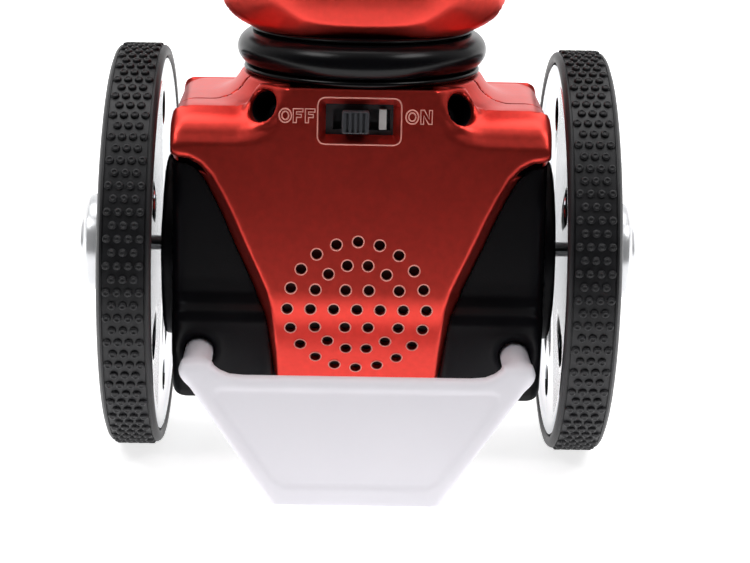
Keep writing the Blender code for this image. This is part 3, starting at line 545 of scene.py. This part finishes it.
def hand_field(side):
    """A mitten with three grooves for its fingers."""
    def field(x, y, z):
        h = side * x - 66.0
        u, v = y - (BODY_Y + 45.0), z - 171.5
        body = smooth_max(rounded_box(u, v, 9.5, 7.5, 5.0), np.abs(h) - 7.0, 4.0)
        for k in (-1, 0, 1):
            groove = np.abs(h - 3.6 * k) - 0.5
            body = smooth_max(body, -np.maximum(groove, np.maximum(-(body + 1.3), 1.0 - u)), 0.8)
        return body
    return field


RIM = ((3.0, 73.0), (8.0, 73.0), (8.0, 76.6), (50.0, 74.4), (57.0, 69.6), (61.6, 69.6), (61.7, 82.4),
       (60.2, 82.8), (58.8, 79.6), (51.0, 77.2), (24.0, 79.2), (17.6, 83.5), (3.0, 83.5))


def rim_field(side):
    """The dished rim with six ribs that taper outwards."""
    def field(x, y, z):
        h, u, v = side * x, y - AXLE_Y, z - AXLE_Z
        radius = np.hypot(u, v)
        dish = polygon(radius, h, RIM)
        angle = np.arctan2(v, u)
        swing = (angle * 6 / (2 * np.pi)) % 1.0 - 0.5
        off = np.abs(swing) * 2 * np.pi / 6 * radius
        top = 79.9 + 0.0025 * (radius - 38.0) ** 2
        rib = np.maximum(off - 5.2 + 0.05 * radius, h - top)
        rib = np.maximum(rib, np.maximum(75.0 - h, np.maximum(18.0 - radius, radius - 57.0)))
        return smooth_min(dish, rib, 1.6)
    return field


# ---------------------------------------------------------------- materials

def shader(name, colour, rough, metallic=0.0, coat=0.0, coat_rough=0.1, specular=0.5, tint=0.12, scale=60.0,
           grain=0.0, grain_scale=900.0, streak=None):
    """Moulded or painted surface: mottled colour, uneven gloss and a fine grain."""
    material = bpy.data.materials.new(name)
    material.use_nodes = True
    nodes, links = material.node_tree.nodes, material.node_tree.links
    bsdf = nodes["Principled BSDF"]
    bsdf.inputs["Metallic"].default_value = metallic
    bsdf.inputs["Coat Weight"].default_value = coat
    bsdf.inputs["Coat Roughness"].default_value = coat_rough
    bsdf.inputs["Specular IOR Level"].default_value = specular
    place = nodes.new("ShaderNodeTexCoord")
    mapping = nodes.new("ShaderNodeMapping")
    if streak:
        mapping.inputs["Scale"].default_value = streak
    links.new(place.outputs["Object"], mapping.inputs["Vector"])
    broad = nodes.new("ShaderNodeTexNoise")
    broad.inputs["Scale"].default_value = scale
    broad.inputs["Detail"].default_value = 4.0
    links.new(mapping.outputs["Vector"], broad.inputs["Vector"])
    ramp = nodes.new("ShaderNodeValToRGB")
    ramp.color_ramp.elements[0].position = 0.3
    ramp.color_ramp.elements[1].position = 0.7
    ramp.color_ramp.elements[0].color = (*[c * (1 - tint) for c in colour], 1)
    ramp.color_ramp.elements[1].color = (*[min(1.0, c * (1 + tint)) for c in colour], 1)
    links.new(broad.outputs["Fac"], ramp.inputs["Fac"])
    links.new(ramp.outputs["Color"], bsdf.inputs["Base Color"])
    gloss = nodes.new("ShaderNodeMapRange")
    gloss.inputs["To Min"].default_value = rough * 0.88
    gloss.inputs["To Max"].default_value = min(1.0, rough * 1.12)
    links.new(broad.outputs["Fac"], gloss.inputs["Value"])
    links.new(gloss.outputs["Result"], bsdf.inputs["Roughness"])
    if grain:
        fine = nodes.new("ShaderNodeTexNoise")
        fine.inputs["Scale"].default_value = grain_scale
        fine.inputs["Detail"].default_value = 2.0
        links.new(mapping.outputs["Vector"], fine.inputs["Vector"])
        bump = nodes.new("ShaderNodeBump")
        bump.inputs["Strength"].default_value = grain
        bump.inputs["Distance"].default_value = 0.0002
        links.new(fine.outputs["Fac"], bump.inputs["Height"])
        links.new(bump.outputs["Normal"], bsdf.inputs["Normal"])
    return material


RED = shader("red_paint", (0.82, 0.062, 0.046), 0.36, metallic=0.9, coat=0.05, coat_rough=0.3, tint=0.05,
             scale=420.0, grain=0.10, grain_scale=2600.0)
# A light pink that paints the highlights caught on the raised rims and letters of the red shell.
PAINTED_HIGHLIGHT = shader("red_painted_highlight", (1.0, 0.40, 0.33), 0.35, tint=0.04, scale=300.0, specular=0.6)
BLACK = shader("black_plastic", (0.0032, 0.003, 0.0045), 0.42, specular=0.18, tint=0.15, grain=0.22,
               grain_scale=1500.0)
GLOSS = shader("gloss_black", (0.004, 0.004, 0.005), 0.25, specular=0.25, tint=0.1, grain=0.03)
TYRE = shader("tyre_rubber", (0.014, 0.014, 0.016), 0.45, specular=0.4, tint=0.22, scale=140.0, grain=0.35,
              grain_scale=1100.0)
CHROME = shader("chrome", (0.40, 0.42, 0.45), 0.09, metallic=1.0, tint=0.02, scale=30.0, grain=0.02)
WHITE = shader("white_plastic", (0.95, 0.93, 0.99), 0.42, tint=0.012, scale=40.0, grain=0.08,
               grain_scale=1400.0)
DARK = shader("dark_plastic", (0.035, 0.036, 0.040), 0.45, tint=0.12, grain=0.2)
KNOB = shader("knob_plastic", (0.060, 0.062, 0.070), 0.38, tint=0.08, grain=0.12)
STEEL = shader("steel", (0.56, 0.56, 0.58), 0.32, metallic=1.0, tint=0.06, scale=200.0, streak=(1, 1, 12),
               grain=0.1)
BRASS = shader("brass", (0.75, 0.52, 0.22), 0.3, metallic=1.0, tint=0.08, scale=160.0, grain=0.08)
BOARD = shader("circuit_board", (0.015, 0.13, 0.05), 0.4, tint=0.35, scale=300.0, grain=0.15)
CELLS = shader("battery_wrap", (0.03, 0.10, 0.32), 0.3, tint=0.1, coat=0.3, grain=0.1, grain_scale=300.0)
PAPER = shader("speaker_paper", (0.03, 0.03, 0.03), 0.85, tint=0.2, grain=0.5, grain_scale=700.0)
LENS = shader("lens", (0.10, 0.42, 0.80), 0.12, coat=0.6, coat_rough=0.05, tint=0.15, scale=90.0)
SATIN = shader("satin_chrome", (0.86, 0.87, 0.89), 0.26, metallic=0.45, tint=0.02, scale=30.0, grain=0.02)
CONTACT = shader("tinned_contact", (0.85, 0.84, 0.82), 0.45, metallic=0.5, tint=0.06, scale=200.0, grain=0.1)
INK = shader("blackened_steel", (0.012, 0.012, 0.014), 0.5, metallic=0.6, tint=0.2, grain=0.1)
FINISHES = {
    "red_shell": RED, "black_housing": BLACK, "waist_rubber": GLOSS, "visor_plastic": GLOSS,
    "tyre_rubber": TYRE, "chrome_plating": CHROME, "white_plastic": WHITE, "dark_plastic": DARK,
    "steel": STEEL, "brass": BRASS, "circuit_board": BOARD, "battery_wrap": CELLS,
    "speaker_paper": PAPER, "lens": LENS,
}
OWN_FINISHES = {"switch_contact": CONTACT}
for part in frame["record"]["subparts"]:
    node = frame["nodes"][part["node"]]
    node.data.materials.clear()
    node.data.materials.append(OWN_FINISHES.get(part["node"], FINISHES[part["material_slot"]]))


# ---------------------------------------------------------------- lower casing

def rear_point(x, depth, z):
    return (x, BODY_Y - depth, z)


def grille_holes():
    """Each speaker hole's centre on the panel's face, the outward normal and the direction down the face."""
    for ring, count in enumerate((1, 6, 14, 20)):
        for step in range(count):
            angle = 2 * math.pi * step / count
            rise = GRILLE_PITCH * ring * math.sin(angle)
            x = GRILLE_X + GRILLE_PITCH * ring * math.cos(angle)
            z = GRILLE_Z + rise * (1.0 if rise > 0 else 0.96)
            depth, above = face_depth(np.array([z, z + 0.1]))
            out = Vector((0, -1, -(above - depth) / 0.1)).normalized()
            yield Vector(rear_point(x, depth, z)), out, out.cross(Vector((-1, 0, 0)))


def hole_circle(centre, down, radius, steps=24):
    angles = [2 * math.pi * k / steps for k in range(steps)]
    return [centre + Vector((radius * math.cos(t), 0, 0)) + down * (radius * math.sin(t)) for t in angles]


def grille_cutters():
    """One pin for each hole of the speaker grille, square to the panel where it stands."""
    verts, faces = [], []
    start = 0
    for centre, out, down in grille_holes():
        v, f = prism([hole_circle(centre + out * level, down, GRILLE_R) for level in (-6.0, 1.0)])
        verts.append(v)
        faces += [tuple(i + start for i in face) for face in f]
        start += len(v)
    return cutter("grille_cutter", np.concatenate(verts), faces)


def bead(points, outs, radius, start, sides=8):
    """A closed round bead along points, where outs point away from the surface under it."""
    points, outs = [Vector(p) for p in points], [Vector(o) for o in outs]
    verts, faces = [], []
    count = len(points)
    for k, (here, out) in enumerate(zip(points, outs)):
        across = (points[(k + 1) % count] - points[k - 1]).cross(out).normalized()
        for i in range(sides):
            turn = 2 * math.pi * i / sides
            verts.append(here + across * (radius * math.cos(turn)) + out * (radius * math.sin(turn)))
    for k in range(count):
        here, there = start + k * sides, start + (k + 1) % count * sides
        for i in range(sides):
            j = (i + 1) % sides
            faces.append((here + i, there + i, there + j, here + j))
    return verts, faces


def window_outline(half_x, half_z, corner):
    corners = [(half_x, half_z), (-half_x, half_z), (-half_x, -half_z), (half_x, -half_z)]
    return [(u + WINDOW_X, w + WINDOW_Z) for u, w in soften(corners, corner, 8)]


def window_cutter():
    """The switch's window, whose walls taper inwards as far as the boss round it."""
    top = float(face_depth(np.array(WINDOW_Z)))
    loops = []
    for depth, spread in ((30.0, -2.3), (BOSS_D, -2.3), (top - 0.1, 0.0), (top + 3.0, 0.1)):
        outline = window_outline(WINDOW_HALF_X + spread, WINDOW_HALF_Z + spread, WINDOW_CORNER + spread)
        loops.append([rear_point(x, depth, z) for x, z in outline])
    return cutter("window_cutter", *prism(loops))


def grille_rim_highlights():
    """A thin bead round each speaker hole, in a light pink that paints the highlight on the hole's lip."""
    verts, faces = [], []
    for centre, out, down in grille_holes():
        circle = hole_circle(centre, down, GRILLE_R + 0.17)
        v, f = bead(circle, [out] * len(circle), 0.21, len(verts))
        verts += v
        faces += f
    # The bead's light pink is a painted highlight, not a colour of the shell.
    build_mesh("grille_rim_highlights", verts, faces, PAINTED_HIGHLIGHT, "chassis", 60)


def window_rim_highlight():
    """A thin bead round the window, in a light pink that paints the highlight on the window's edge."""
    outline = window_outline(WINDOW_HALF_X + 0.3, WINDOW_HALF_Z + 0.3, WINDOW_CORNER + 0.3)
    line = [rear_point(x, float(face_depth(np.array(z))), z) for x, z in outline]
    v, f = bead(line, [(0, -1, 0)] * len(line), 0.24, 0)
    # The bead's light pink is a painted highlight, not a colour of the shell.
    build_mesh("window_rim_highlight", v, f, PAINTED_HIGHLIGHT, "chassis", 60)


rear = surface("rear_cover_skin", rear_field, (-64, -47, 25), (64, -18, 132.5), 0.72, RED, "chassis")
cut(rear, [window_cutter(), grille_cutters()])
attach(rear, "chassis")
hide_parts("lower_rear_cover")
grille_rim_highlights()
window_rim_highlight()

front = surface("front_cover_skin", front_field, (-64, -20, 25), (64, 39, 132.5), 1.0, RED, "chassis")
LENS_HOLE_R = 6.3
lens_hole = [(LENS_HOLE_R * math.cos(t), WINDOW_Z + LENS_HOLE_R * math.sin(t))
             for t in np.arange(48) * math.pi / 24]
cut(front, [cutter("lens_cutter", *prism([[(x, y, z) for x, z in lens_hole] for y in (28.0, 42.0)]))])
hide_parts("lower_front_cover")

for label, side in SIDES:
    low, high = x_span(side, 26.4, 66.6)
    housing = surface(label + "_housing_skin", housing_field(side), (low, -41.5, 22.4), (high, 33, 110), 0.9,
                      BLACK, "chassis")
    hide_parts(label + "_side_housing")


def cloth_field(x, y, z):
    """Thin black cloth behind the grille, following the panel's inner face."""
    d = BODY_Y - y
    sheet = np.abs(tongue(x, d, z) + WALL + 0.75) - 0.35
    return np.maximum(np.maximum(sheet, 28.0 - d), np.maximum(np.abs(x) - 25.5, np.abs(z - 57.0) - 26.5))


surface("grille_cloth", cloth_field, (-27, -43.5, 29), (27, -31, 85), 0.55, PAPER, "chassis")

# A black tube that lines each screw recess, painting the shade inside it; the recess's own wall is the red
# shell.
SHADE_SLEEVE = ((0.02, -0.35), (5.42, -0.35), (5.42, 6.9), (5.2, 6.9), (5.2, -0.02), (0.02, -0.02))
SCREW = ((0.02, 0.0), (3.1, 0.0), (3.1, 0.7), (2.7, 1.3), (1.7, 1.75), (0.9, 1.85), (0.85, 1.0), (0.02, 0.9))
for label, side in SIDES:
    axis = Vector(rear_point(*screw_direction(side))) - Vector((0, BODY_Y, 0))
    across = axis.cross(Vector((0, 0, 1))).normalized()
    over = across.cross(axis)
    seat = Vector(rear_point(side * SCREW_X, SCREW_D, SCREW_Z)) - axis * (RECESS_DEPTH - 0.3)

    def screw_place(u, v, h, axis=axis, across=across, over=over, seat=seat):
        return np.array(seat) + u[..., None] * np.array(across) + v[..., None] * np.array(over) \
            + h[..., None] * np.array(axis)

    screw = turned(label + "_screw_head", SCREW, screw_place, INK, "chassis", 40)
    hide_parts(label + "_cover_screw")
    # The black sleeve paints the shade in the recess.
    turned(label + "_recess_shade_sleeve", SHADE_SLEEVE, screw_place, BLACK, "chassis", 48)


def letters(name, strokes, x, z, height, width):
    """Raised block letters: each stroke is a list of points in a unit box, swept as a low rounded ridge in
    the light pink that paints their highlights.
    """
    curve = bpy.data.curves.new(name, "CURVE")
    curve.dimensions = "3D"
    curve.bevel_depth = 0.25 * MM
    curve.bevel_resolution = 3
    curve.use_fill_caps = True
    for points, cyclic in strokes:
        spline = curve.splines.new("POLY")
        spline.points.add(len(points) - 1)
        for point, (u, w) in zip(spline.points, points):
            px, pz = x + u * width, z + w * height
            depth = float(face_depth(np.array(pz))) + 0.02
            point.co = (px * MM, (BODY_Y - depth) * MM, pz * MM, 1)
        spline.use_cyclic_u = cyclic
    guide = bpy.data.objects.new(name, curve)
    bpy.context.scene.collection.objects.link(guide)
    bpy.context.view_layer.update()
    mesh = bpy.data.meshes.new_from_object(guide.evaluated_get(bpy.context.evaluated_depsgraph_get()))
    bpy.data.objects.remove(guide, do_unlink=True)
    # The letters take the light pink that paints their highlights; the real letters are the shell's red.
    mesh.materials.append(PAINTED_HIGHLIGHT)
    mesh.shade_smooth()
    obj = bpy.data.objects.new(name, mesh)
    bpy.context.scene.collection.objects.link(obj)
    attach(obj, "chassis")


def oval(cx, cw, ch, steps=28):
    return [(cx + cw * math.cos(2 * math.pi * k / steps), 0.5 + ch * math.sin(2 * math.pi * k / steps))
            for k in range(steps)]


def letter_o(cx):
    return [(oval(cx, 0.46, 0.5), True), (oval(cx, 0.25, 0.30), True)]


def letter_f(cx):
    left, right, bar = cx - 0.36, cx + 0.36, cx + 0.24
    return [([(left, 0), (left, 1), (right, 1), (right, 0.78), (left + 0.24, 0.78), (left + 0.24, 0.6),
              (bar, 0.6), (bar, 0.38), (left + 0.24, 0.38), (left + 0.24, 0)], True)]


def letter_n(cx):
    a, b = cx - 0.42, cx + 0.42
    return [([(a, 0), (a, 1), (a + 0.26, 1), (b - 0.22, 0.38), (b - 0.22, 1), (b, 1), (b, 0), (b - 0.26, 0),
              (a + 0.22, 0.62), (a + 0.22, 0)], True)]


letters("off_letters", letter_o(0.46) + letter_f(1.42) + letter_f(2.32), -26.6, 120.3, 4.5, 4.3)
letters("on_letters", letter_o(0.46) + letter_n(1.5), 14.2, 120.5, 4.5, 4.4)


# ---------------------------------------------------------------- switch

def rib_block(name, low, high, ribs, finish, body):
    """A small moulded key with softened edges and upright grooves across its rear face."""
    half = [(b - a) / 2 for a, b in zip(low, high)]
    mid = [(b + a) / 2 for a, b in zip(low, high)]

    def field(x, y, z):
        key = smooth_max(rounded_box(x - mid[0], z - mid[2], half[0], half[2], 0.7),
                         np.abs(y - mid[1]) - half[1], 0.5)
        for k in range(ribs):
            at = low[0] + (k + 1) * (high[0] - low[0]) / (ribs + 1)
            groove = np.maximum(np.abs(x - at) - 0.42, y - (low[1] + 0.8))
            key = smooth_max(key, -np.maximum(groove, np.abs(z - mid[2]) - half[2] + 0.5), 0.25)
        return key

    pad = 0.6
    return surface(name, field, [v - pad for v in low], [v + pad for v in high], 0.2, finish, body)


knob = rib_block("switch_knob", (-6.4, -44.6, 117.0), (2.4, -40.8, 124.3), 4, KNOB, "switch_slider")
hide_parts("switch_slider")


# ---------------------------------------------------------------- wheels

def studs():
    """The tread's rubber studs, in rows of four and three by turns: (radius, height) frames for one wheel."""
    ring = np.arange(12) * 2 * np.pi / 12
    levels = ((1.5, -0.35), (1.42, 0.1), (1.32, 0.62), (1.12, 0.92), (0.78, 0.98), (0.5, 0.72), (0.2, 0.66))
    shape, faces = [], []
    for radius, height in levels:
        shape += [(radius * math.cos(t), radius * math.sin(t), height) for t in ring]
    for k in range(len(levels) - 1):
        for i in range(12):
            j = (i + 1) % 12
            faces.append((k * 12 + i, k * 12 + j, k * 12 + 12 + j, k * 12 + 12 + i))
    faces.append(tuple(range(len(shape) - 12, len(shape))))
    faces.append(tuple(range(11, -1, -1)))
    shape = np.array(shape)
    verts, all_faces = [], []
    rows = 100
    for row in range(rows):
        heights = (69.5, 72.95, 76.45, 79.9) if row % 2 == 0 else (71.2, 74.7, 78.2)
        angle = 2 * math.pi * row / rows
        for h in heights:
            start = len(verts) * len(shape)
            radial = TREAD_R + shape[:, 2]
            sideways = shape[:, 0]
            u = radial * math.cos(angle) - sideways * math.sin(angle)
            v = radial * math.sin(angle) + sideways * math.cos(angle)
            verts.append((u, v, h + shape[:, 1]))
            all_faces += [tuple(i + start for i in face) for face in faces]
    u, v, h = (np.concatenate([entry[k] for entry in verts]) for k in range(3))
    return u, v, h, all_faces


TYRE_SIDE = ((64.6, 69.0), (64.6, 66.9), (65.1, 66.1), (66.3, 65.9), (67.3, 66.2), (67.9, 66.7),
             (68.25, 67.3), (68.25, 67.6), (67.7, 67.75), (67.7, 68.05), (68.0, 68.15))
OUTER_SIDE = ((68.0, 81.0), (67.7, 81.1), (67.7, 81.4), (68.1, 81.55), (67.9, 82.2), (67.0, 82.9),
              (65.2, 83.5), (62.8, 83.3), (62.2, 82.6), (62.2, 69.0))
DISC = ((12.0, 68.5), (12.0, 67.4), (13.0, 67.1), (57.6, 67.1), (58.6, 66.7), (60.2, 66.35), (62.6, 66.3),
        (63.7, 66.6), (64.1, 67.2), (64.1, 68.5))
CAP = ((2.0, 86.2), (9.0, 86.2), (9.0, 84.0), (15.0, 84.0), (16.3, 84.7), (16.5, 85.6), (16.5, 90.6),
       (16.1, 92.0), (15.0, 92.9), (12.6, 93.4), (10.4, 93.5), (9.9, 93.2), (9.3, 93.2), (8.8, 93.6),
       (8.2, 94.8), (7.0, 95.3), (0.02, 95.5), (0.02, 86.2))
stud_u, stud_v, stud_h, stud_faces = studs()


def disc_cutters(label, side):
    """Six pins through the inner disc, with flared mouths."""
    pins = []
    circle = np.arange(32) * math.pi / 16
    for k in range(6):
        angle = 2 * math.pi * k / 6 - math.pi / 2
        cy = AXLE_Y + DISC_HOLE_CIRCLE * math.cos(angle)
        cz = AXLE_Z + DISC_HOLE_CIRCLE * math.sin(angle)
        loops = []
        for h, r in ((64.0, DISC_HOLE_R + 2.6), (67.5, DISC_HOLE_R), (72.0, DISC_HOLE_R)):
            loops.append([(side * h, cy + r * math.cos(t), cz + r * math.sin(t)) for t in circle])
        pins.append(cutter(f"{label}_disc_cutter_{k}", *prism(loops)))
    return pins


for label, side in SIDES:
    wheel = label + "_wheel"
    place = wheel_place(side)
    tyre = turned(label + "_tyre_body", TYRE_SIDE + OUTER_SIDE, place, TYRE, wheel, 200, 30)
    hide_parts(label + "_tyre")
    build_mesh(label + "_studs", place(stud_u, stud_v, stud_h), stud_faces, TYRE, wheel, 50)
    disc = turned(label + "_disc_plate", DISC, place, CHROME, wheel, 160, 30)
    cut(disc, disc_cutters(label, side), sharp=30)
    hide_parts(label + "_inner_disc")
    cap = turned(label + "_hub_dome", CAP, place, SATIN, wheel, 96, 28)
    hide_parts(label + "_hub_cap")
    low, high = x_span(side, 68.6, 84.6)
    rim = surface(label + "_rim_dish", rim_field(side), (low, AXLE_Y - 63, AXLE_Z - 63),
                  (high, AXLE_Y + 63, AXLE_Z + 63), 0.95, BLACK, wheel)
    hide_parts(label + "_rim")


# ---------------------------------------------------------------- stand, waist, upper body

stand = surface("stand_moulding", stand_field, (-59, -73, -1), (59, -24, 52.5), 0.7, WHITE, "stand")
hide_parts("stand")

TORUS = [(35.6 + 6.25 * math.cos(t), 139.4 + 5.9 * math.sin(t)) for t in np.arange(40) * math.pi / 20]
ring = turned("waist_torus", TORUS, upright_place, GLOSS, "chassis", 160)
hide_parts("waist_ring")
LOWER_RING = ((30, 131.5), (38.6, 131.5), (39.8, 132.6), (39.3, 133.8), (30, 133.8))
lower = turned("waist_lower_ring", soften(LOWER_RING, 0.6), upright_place, GLOSS, "chassis",
               160)
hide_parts("lower_waist_ring")
NECK = ((17.4, 145.5), (36.4, 145.5), (37.3, 146.0), (37.4, 146.5), (36.7, 147.0), (35.6, 147.2),
        (17.4, 147.2))
neck = turned("neck_ring", soften(NECK, 0.3, 3), upright_place, GLOSS, "torso", 160, 30)
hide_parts("upper_neck")

for facing, node in ((-1, "torso_rear_shell"), (1, "torso_front_shell")):
    span = (-47, -3.0) if facing < 0 else (-5.0, 38.5)
    shell = surface(node + "_skin", torso_field(facing), (-50.5, span[0], 145.9), (50.5, span[1], 214), 0.9,
                    RED, "torso")
    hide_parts(node)
for facing, node in ((-1, "head_rear_shell"), (1, "head_front_shell")):
    span = (-39.5, -3.0) if facing < 0 else (-5.0, 26.5)
    shell = surface(node + "_skin", head_field(facing), (-40.5, span[0], 215), (40.5, span[1], 258), 0.9, RED,
                    "head")
    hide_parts(node)

for label, side in SIDES:
    upper = arm_field(side, (SHOULDER, 11.0, ELBOW, 8.5), 50.6, 61.0, ((SHOULDER, 6.5), (ELBOW, 5.0)))
    low, high = x_span(side, 50.0, 61.8)
    piece = surface(label + "_upper_arm_skin", upper, (low, -16, 160.5), (high, 8, 204), 0.7, RED,
                    label + "_upper_arm")
    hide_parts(label + "_upper_arm")
    wrist = (BODY_Y + 28.0, 171.0)
    lower_arm = arm_field(side, (ELBOW, 8.2, wrist, 7.0), 61.4, 71.0, ((ELBOW, 5.0),))
    low, high = x_span(side, 60.8, 71.8)
    piece = surface(label + "_forearm_skin", lower_arm, (low, -13.5, 160.5), (high, 32.5, 179.5), 0.7, BLACK,
                    label + "_forearm")
    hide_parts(label + "_forearm")
    low, high = x_span(side, 58.0, 74.0)
    piece = surface(label + "_hand_skin", hand_field(side), (low, 30.5, 163), (high, 51.5, 180), 0.6, WHITE,
                    label + "_forearm")
    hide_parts(label + "_hand")


# ---------------------------------------------------------------- stage, light, camera

def stage_mesh():
    """A pale floor that curves up into a backdrop on the far side."""
    profile = [(-0.21, 0.0), (1.6, 0.0)]
    profile += [(1.6 + 1.2 * math.sin(t), 1.2 - 1.2 * math.cos(t)) for t in np.linspace(0.1, math.pi / 2, 16)]
    profile.append((2.8, 4.0))
    verts, faces = [], []
    for x in (-4.0, 4.0):
        verts += [(x, y, z) for y, z in profile]
    count = len(profile)
    for i in range(count - 1):
        faces.append((i, count + i, count + i + 1, i + 1))
    mesh = bpy.data.meshes.new("floor")
    mesh.from_pydata(verts, [], faces)
    mesh.shade_smooth()
    floor = bpy.data.objects.new("floor", mesh)
    bpy.context.scene.collection.objects.link(floor)
    paper = shader("light_table", (0.90, 0.90, 0.905), 0.7, tint=0.004, scale=6.0, specular=0.2)
    glow = paper.node_tree.nodes["Principled BSDF"].inputs
    glow["Emission Color"].default_value = (1.0, 1.0, 1.0, 1.0)
    glow["Emission Strength"].default_value = 0.75
    floor.data.materials.append(paper)


def area_light(name, spot, target, size, power, colour=(1.0, 1.0, 1.0)):
    data = bpy.data.lights.new(name, "AREA")
    data.shape = "RECTANGLE"
    data.size, data.size_y = size
    data.energy = power
    data.color = colour
    lamp = bpy.data.objects.new(name, data)
    lamp.location = spot
    lamp.rotation_euler = (Vector(target) - Vector(spot)).to_track_quat("-Z", "Y").to_euler()
    bpy.context.scene.collection.objects.link(lamp)


stage_mesh()
area_light("left_softbox", (-0.75, -0.55, 1.15), (0, 0, 0.1), (0.55, 0.4), 3.8)
area_light("right_softbox", (0.8, -0.5, 1.15), (0, 0, 0.1), (0.55, 0.4), 3.8)
area_light("top_softbox", (0.0, 0.25, 1.6), (0, 0.1, 0.0), (1.6, 1.1), 13)


def studio_world():
    """A pale room that is darker on the side the camera stands on."""
    world = bpy.data.worlds.new("studio")
    world.use_nodes = True
    nodes, links = world.node_tree.nodes, world.node_tree.links
    place = nodes.new("ShaderNodeTexCoord")
    split = nodes.new("ShaderNodeSeparateXYZ")
    links.new(place.outputs["Generated"], split.inputs["Vector"])
    height = nodes.new("ShaderNodeMath")
    height.operation = "MULTIPLY_ADD"
    height.inputs[1].default_value = 0.9
    links.new(split.outputs["Z"], height.inputs[0])
    links.new(split.outputs["Y"], height.inputs[2])
    level = nodes.new("ShaderNodeMapRange")
    level.interpolation_type = "SMOOTHSTEP"
    level.inputs["From Min"].default_value = -0.35
    level.inputs["From Max"].default_value = 0.8
    level.inputs["To Min"].default_value = 0.02
    level.inputs["To Max"].default_value = 0.5
    links.new(height.outputs["Value"], level.inputs["Value"])
    links.new(level.outputs["Result"], nodes["Background"].inputs["Strength"])
    nodes["Background"].inputs["Color"].default_value = (1.0, 1.0, 1.0, 1.0)
    bpy.context.scene.world = world


studio_world()
bpy.context.scene.view_settings.view_transform = "Standard"

PITCH, YAW, ROLL = math.radians(12.33), math.radians(0.97), math.radians(1.22)
camera_data = bpy.data.cameras.new("camera")
camera_data.sensor_width = 36.0
camera_data.lens = 107.107
camera_data.shift_y = -0.11827
camera_data.clip_end = 30.0
camera = bpy.data.objects.new("camera", camera_data)
ahead = Vector((math.sin(YAW) * math.cos(PITCH), math.cos(YAW) * math.cos(PITCH), -math.sin(PITCH)))
right = ahead.cross(Vector((0, 0, 1))).normalized()
above = right.cross(ahead)
tilted_right = right * math.cos(ROLL) + above * math.sin(ROLL)
tilted_above = above * math.cos(ROLL) - right * math.sin(ROLL)
camera.matrix_world = Matrix.Translation(Vector((-7.2, -749.2, 251.9)) * MM) @ Matrix(
    (tilted_right, tilted_above, -ahead)).transposed().to_4x4()
bpy.context.scene.collection.objects.link(camera)
bpy.context.scene.camera = camera
